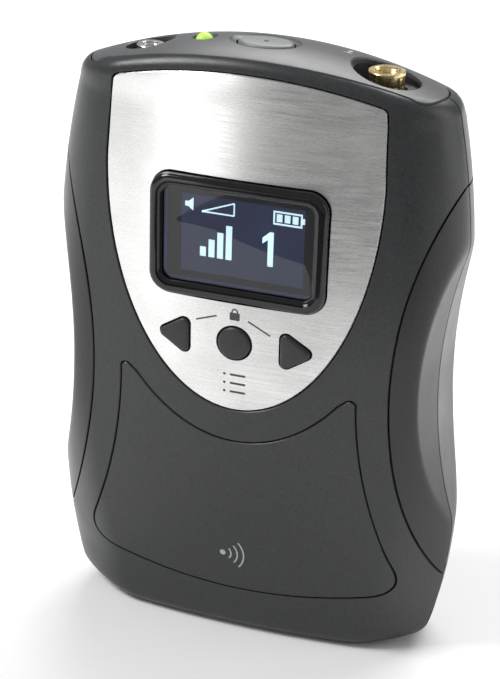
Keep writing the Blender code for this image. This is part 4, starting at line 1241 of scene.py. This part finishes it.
def make_cells():
    nub = 1.0
    can = CELL_LENGTH - nub
    profile = [
        (0.01, CELL_LENGTH), (2.3, CELL_LENGTH), (2.6, CELL_LENGTH - 0.25), (2.6, can), (6.4, can),
        (6.9, can - 0.15), (7.15, can - 0.45), (CELL_RADIUS, can - 0.9), (CELL_RADIUS, 0.8),
        (7.1, 0.3), (6.7, 0), (0.01, 0)]
    floor = BAY_Z[0] + 1.5
    for name, x, foot, upside_down in (("cell_left", -CELL_X, floor + 6.0, False),
                                       ("cell_right", CELL_X, floor + 0.7, True)):
        cell = revolve(name, profile, (0, 0, 0), 64)
        if upside_down:
            shift(lay_down(lay_down(cell)), (0, 0, CELL_LENGTH))
        shift(cell, (x, CELL_Y, foot))
        finish_piece(cell, name, "cell_wrap")


def coil(centre, radii, heights, turns, steps):
    points = []
    for step in range(turns * steps + 1):
        share = step / (turns * steps)
        angle = 2 * math.pi * step / steps
        radius = radii[0] + (radii[1] - radii[0]) * share
        points.append((
            centre[0] + radius * math.cos(angle), centre[1] + radius * math.sin(angle),
            heights[0] + (heights[1] - heights[0]) * share))
    return points


def make_springs():
    thick = CELL_WIRE_RADIUS
    floor = BAY_Z[0] + 1.5
    roof = BAY_Z[1] - 1.5
    lower = coil((-CELL_X, CELL_Y), (4.2, 2.2), (floor + thick, floor + 5.7 - thick), 3, 32)
    upper = coil((CELL_X, CELL_Y), (4.2, 2.2), (roof - thick, roof - 5.7 + thick), 3, 32)
    for name, points in (("lower_cell_spring", lower), ("upper_cell_spring", upper)):
        finish_piece(wire(name, points, thick), name, "spring_steel")
    pin_y, pin_z = CLIP_PIN
    reach = 2.4
    turns = coil((0, 0), (1.35, 1.35), (-reach, reach), 4, 32)
    points = [(-reach, pin_y - 1.6, pin_z - 5.0)]
    points += [(along, pin_y - out, pin_z - rise) for out, rise, along in turns]
    points.append((reach, pin_y - 0.2, pin_z - 5.0))
    spring = wire("clip_spring", points, CLIP_WIRE_RADIUS)
    finish_piece(spring, "clip_spring", "spring_steel", "door")


def pin_rod(name, radius, low, high):
    return rod(name, radius, (low, *CLIP_PIN), (high, *CLIP_PIN))


def make_belt_clip():
    inner, outer = CLIP_Y
    outline = [
        (inner, 64.5), (inner, 34.0), (15.6, 27.5), (13.0, 24.0), (12.2, 22.0), (12.6, 20.4),
        (14.4, 18.4), (15.6, 19.4), (14.0, 21.2), (13.9, 22.2), (14.6, 23.6), (17.0, 27.4),
        (outer, 33.4), (outer, 65.0)]
    clip = bevel(prism("belt_clip", outline, -CLIP_HALF_WIDTH, CLIP_HALF_WIDTH, "X"), 0.35, 3, 25)
    pin_y, pin_z = CLIP_PIN
    for side in (-1, 1):
        low, high = span(side, 7.0, CLIP_HALF_WIDTH - 0.3)
        web = box("cheek_web", (low, pin_y, pin_z - 1.7), (high, inner + 0.5, pin_z + 1.7))
        join(clip, web, pin_rod("cheek", 1.7, low, high))
    join(clip, bevel(box("belt_pad", (-7.5, 16.9, 35.0), (7.5, 17.6, 48.5)), 0.15, 2))
    for step in range(5):
        z = 58.6 + 1.2 * step
        join(clip, bevel(box("ridge", (-7.2, outer - 0.3, z), (7.2, outer, z + 0.6)), 0.1, 2))
        cut(clip, bevel(box("valley", (-7.4, outer - 0.25, z), (7.4, outer + 1, z + 0.55)), 0.08, 2))
    cut(clip, pin_rod("pin_hole", PIN_HOLE_RADIUS, -20, 20))
    finish_piece(clip, "belt_clip", "coated_steel", "clip")


def make_clip_mount():
    pin_y, pin_z = CLIP_PIN
    foot_y = BACK_DEPTH + 0.3
    bracket = bevel(box("bracket", (-6.6, foot_y, 49.0), (6.6, foot_y + 0.9, 64.0)), 0.2, 2)
    for side in (-1, 1):
        low, high = span(side, 5.4, 6.6)
        web = box("web", (low, foot_y + 0.3, pin_z - 3.0), (high, pin_y, pin_z + 3.0))
        join(bracket, web, pin_rod("ear", 1.5, low, high))
    cut(bracket, pin_rod("pin_hole", PIN_HOLE_RADIUS, -20, 20))
    finish_piece(bracket, "clip_bracket", "spring_steel", "door")
    reach = CLIP_HALF_WIDTH - 0.5
    finish_piece(pin_rod("clip_pin", PIN_RADIUS, -reach, reach), "clip_pin", "spring_steel", "door")


def make_door_latch():
    side = LATCH_HALF_WIDTH
    latch = bevel(box("latch", (-side, 10.2, LATCH_Z[0]), (side, BACK_DEPTH, LATCH_Z[1])), 0.2, 3)
    for step in range(4):
        low = LATCH_Z[0] + 1.0 + 1.3 * step
        ridge = box("ridge", (-side + 1, 11.0, low), (side - 1, BACK_DEPTH + 0.45, low + 0.6))
        join(latch, bevel(ridge, 0.15, 2))
    finish_piece(latch, "door_latch", "moulded_black", "latch", look="key_plastic")


# ---- printed marks

def on_skin(name, outline, top):
    """A thin print: an outline on the front face or the top, a hair proud of the form."""
    base = [SKIN.hit(*ray) for ray in (top_rays(outline) if top else front_rays(outline))]
    front = [place + normal * 0.02 for place, normal in base]
    back = [place - normal * 0.06 for place, normal in base]
    return loft(name, [front, back])


def print_marks(name, outlines, look, slot, top=False):
    whole = merged([on_skin(name, outline, top) for outline in outlines])
    finish_piece(whole, name, slot, look=look, extra=True)


def stroke(start, end, width):
    along = Vector((end[0] - start[0], end[1] - start[1])).normalized() * (width / 2)
    side = Vector((-along.y, along.x))
    a = Vector(start)
    b = Vector(end)
    return [tuple(a - side), tuple(b - side), tuple(b + side), tuple(a + side)]


def make_prints():
    plate_marks = [
        stroke((-5.8, 51.6), (-2.7, 52.7), 0.24), stroke((2.0, 52.6), (5.3, 50.9), 0.24),
        rounded_rectangle(1.5, 1.15, 0.15, (0, 53.0), 3),
    ]
    shackle = arc((0, 53.6), (0.52, 0.62), 0, 180, 12) + arc((0, 53.6), (0.3, 0.4), 180, 0, 12)
    plate_marks.append(shackle)
    for step in range(3):
        z = 43.9 - 1.35 * step
        plate_marks.append(bar(-0.55, 1.75, z - 0.16, z + 0.16))
        plate_marks.append(oval((-1.4, z), (0.2, 0.2), 18))
    print_marks("plate_print", plate_marks, "print_grey", "brushed_plate")
    waves = []
    for radius in (1.2, 2.2, 3.2):
        outer = arc((-2.0, 13.0), (radius + 0.22, radius + 0.22), -42, 42, 12)
        waves.append(outer + arc((-2.0, 13.0), (radius, radius), 42, -42, 12))
    waves.append(oval((-2.0, 13.0), (0.45, 0.45), 18))
    print_marks("label_print", waves, "print_light", "case_plastic")
    capsule = rounded_rectangle(0.6, 1.1, 0.29, (11.0, 2.6), 6)
    stand = [bar(10.4, 11.6, 1.2, 1.38), bar(10.91, 11.09, 1.38, 1.9)]
    print_marks("cap_print", [capsule] + stand, "print_light", "cap_plastic", top=True)


# ---- stage

def make_camera():
    data = bpy.data.cameras.new("camera")
    data.lens = CAMERA_LENS
    data.sensor_width = 36
    data.clip_start = 0.01
    camera = bpy.data.objects.new("camera", data)
    turn = Matrix.Identity(4)
    for angle, axis in ((CAMERA_AZIMUTH, "Z"), (90 - CAMERA_ELEVATION, "X"), (CAMERA_ROLL, "Z")):
        turn = turn @ Matrix.Rotation(math.radians(angle), 4, axis)
    target = Matrix.Translation(Vector(CAMERA_TARGET) * MM)
    camera.matrix_world = target @ turn @ Matrix.Translation((0, 0, CAMERA_DISTANCE * MM))
    bpy.context.scene.collection.objects.link(camera)
    bpy.context.scene.camera = camera


def put_on_stage(thing):
    bpy.context.scene.collection.objects.link(thing)


def area_light(name, place, target, size, power):
    data = bpy.data.lights.new(name, "AREA")
    data.shape = "RECTANGLE"
    data.size, data.size_y = size
    data.energy = power
    light = bpy.data.objects.new(name, data)
    light.location = place
    light.rotation_mode = "QUATERNION"
    light.rotation_quaternion = (Vector(target) - Vector(place)).to_track_quat("-Z", "Y")
    put_on_stage(light)


def make_flag(name, outline, grey):
    """A dark card low in front of the pack. It shows only in reflections, as a studio flag does."""
    card = prism(name, outline, 0.010, 0.011, "Z")
    WORKSHOP.objects.unlink(card)
    tree, shader = new_look("flag_cloth")
    tint(tree, shader, noise(tree, 0.4), [grey * 0.8] * 3, [grey] * 3)
    set_inputs(shader, Roughness=0.9)
    card.data.materials.append(LOOKS["flag_cloth"])
    card.visible_camera = False
    card.visible_diffuse = False
    card.visible_shadow = False
    put_on_stage(card)


def make_stage():
    floor = bpy.data.meshes.new("floor")
    reach = 3.0
    floor.from_pydata([(-reach, -reach, 0), (reach, -reach, 0), (reach, reach, 0), (-reach, reach, 0)],
                      [], [(0, 1, 2, 3)])
    tree, shader = new_look("floor_white")
    tint(tree, shader, noise(tree, 0.05), [0.93] * 3, [0.95] * 3)
    set_inputs(shader, Roughness=0.8)
    floor.materials.append(LOOKS["floor_white"])
    plane = bpy.data.objects.new("floor", floor)
    plane.location.z = -0.00005
    put_on_stage(plane)
    world = bpy.data.worlds.new("studio")
    world.use_nodes = True
    background = world.node_tree.nodes["Background"]
    background.inputs["Color"].default_value = (1.0, 1.0, 1.0, 1)
    background.inputs["Strength"].default_value = 0.35
    bpy.context.scene.world = world
    area_light("key_left", (-0.45, -0.25, 0.6), (-0.05, -0.1, 0.0), (0.3, 0.3), 4.0)
    area_light("top_back", (0.05, 0.4, 0.55), (0, 0, 0.06), (0.7, 0.3), 4.0)
    area_light("side_right", (0.6, 0.15, 0.22), (0, 0, 0.05), (0.3, 0.4), 0.7)
    area_light("strip_front", (-0.155, -0.33, 0.06), (0, 0, 0.07), (0.07, 0.16), 0.06)
    flag_edge = (
        (0.35, -0.5), (-0.10, -0.5), (-0.078, -0.138), (-0.057, -0.130), (-0.039, -0.1235),
        (-0.02, -0.121), (0.35, -0.121))
    make_flag("flag_right", flag_edge, 0.11)
    bpy.context.scene.view_settings.view_transform = "Standard"


# ---- build

make_looks()
dress_cad_nodes()
FORMS = {0: case_form(0, turns=24, flats=22, step=1.0, columns=22)}
FORMS.update({inset: case_form(inset) for inset in (INLAY, POCKET, WALL, BAY_LIMIT)})
SKIN = Skin(FORMS[0])
GROOVES = {
    "plate": groove_cutter("plate_groove", skin_path(front_rays(plate_outline(0)), FINE_STEP)),
    "label": groove_cutter("label_groove", skin_path(front_rays(label_outline(0)), FINE_STEP)),
    "right_grip": groove_cutter("right_grip_groove", grip_path(), closed=False),
    "cap": groove_cutter("cap_groove", skin_path(top_rays(cap_outline(0)), FINE_STEP)),
    "parting": groove_cutter("parting_groove", parting_path()),
    "door_top": groove_cutter("door_top_groove", girdle_path(DOOR_Z[1] + 0.15), closed=False),
    "door_base": groove_cutter("door_base_groove", girdle_path(DOOR_Z[0] - 0.15), closed=False),
}
GROOVES["left_grip"] = mirrored(GROOVES["right_grip"], "left_grip_groove")
make_front_shell()
make_inlays()
make_back_shell()
make_battery_door()
make_top_cap()
make_display()
make_display_marks()
make_keys()
make_top_controls()
make_socket("mic_jack", MIC_X, 88.3, 2.57, 1.8, "gold_plate")
make_socket("line_jack", LINE_X, 87.7, 2.0, 1.2, "nickel_plate")
make_screws()
make_cells()
make_springs()
make_belt_clip()
make_clip_mount()
make_door_latch()
make_prints()
for leftover in list(WORKSHOP.objects):
    bpy.data.objects.remove(leftover, do_unlink=True)
make_camera()
make_stage()
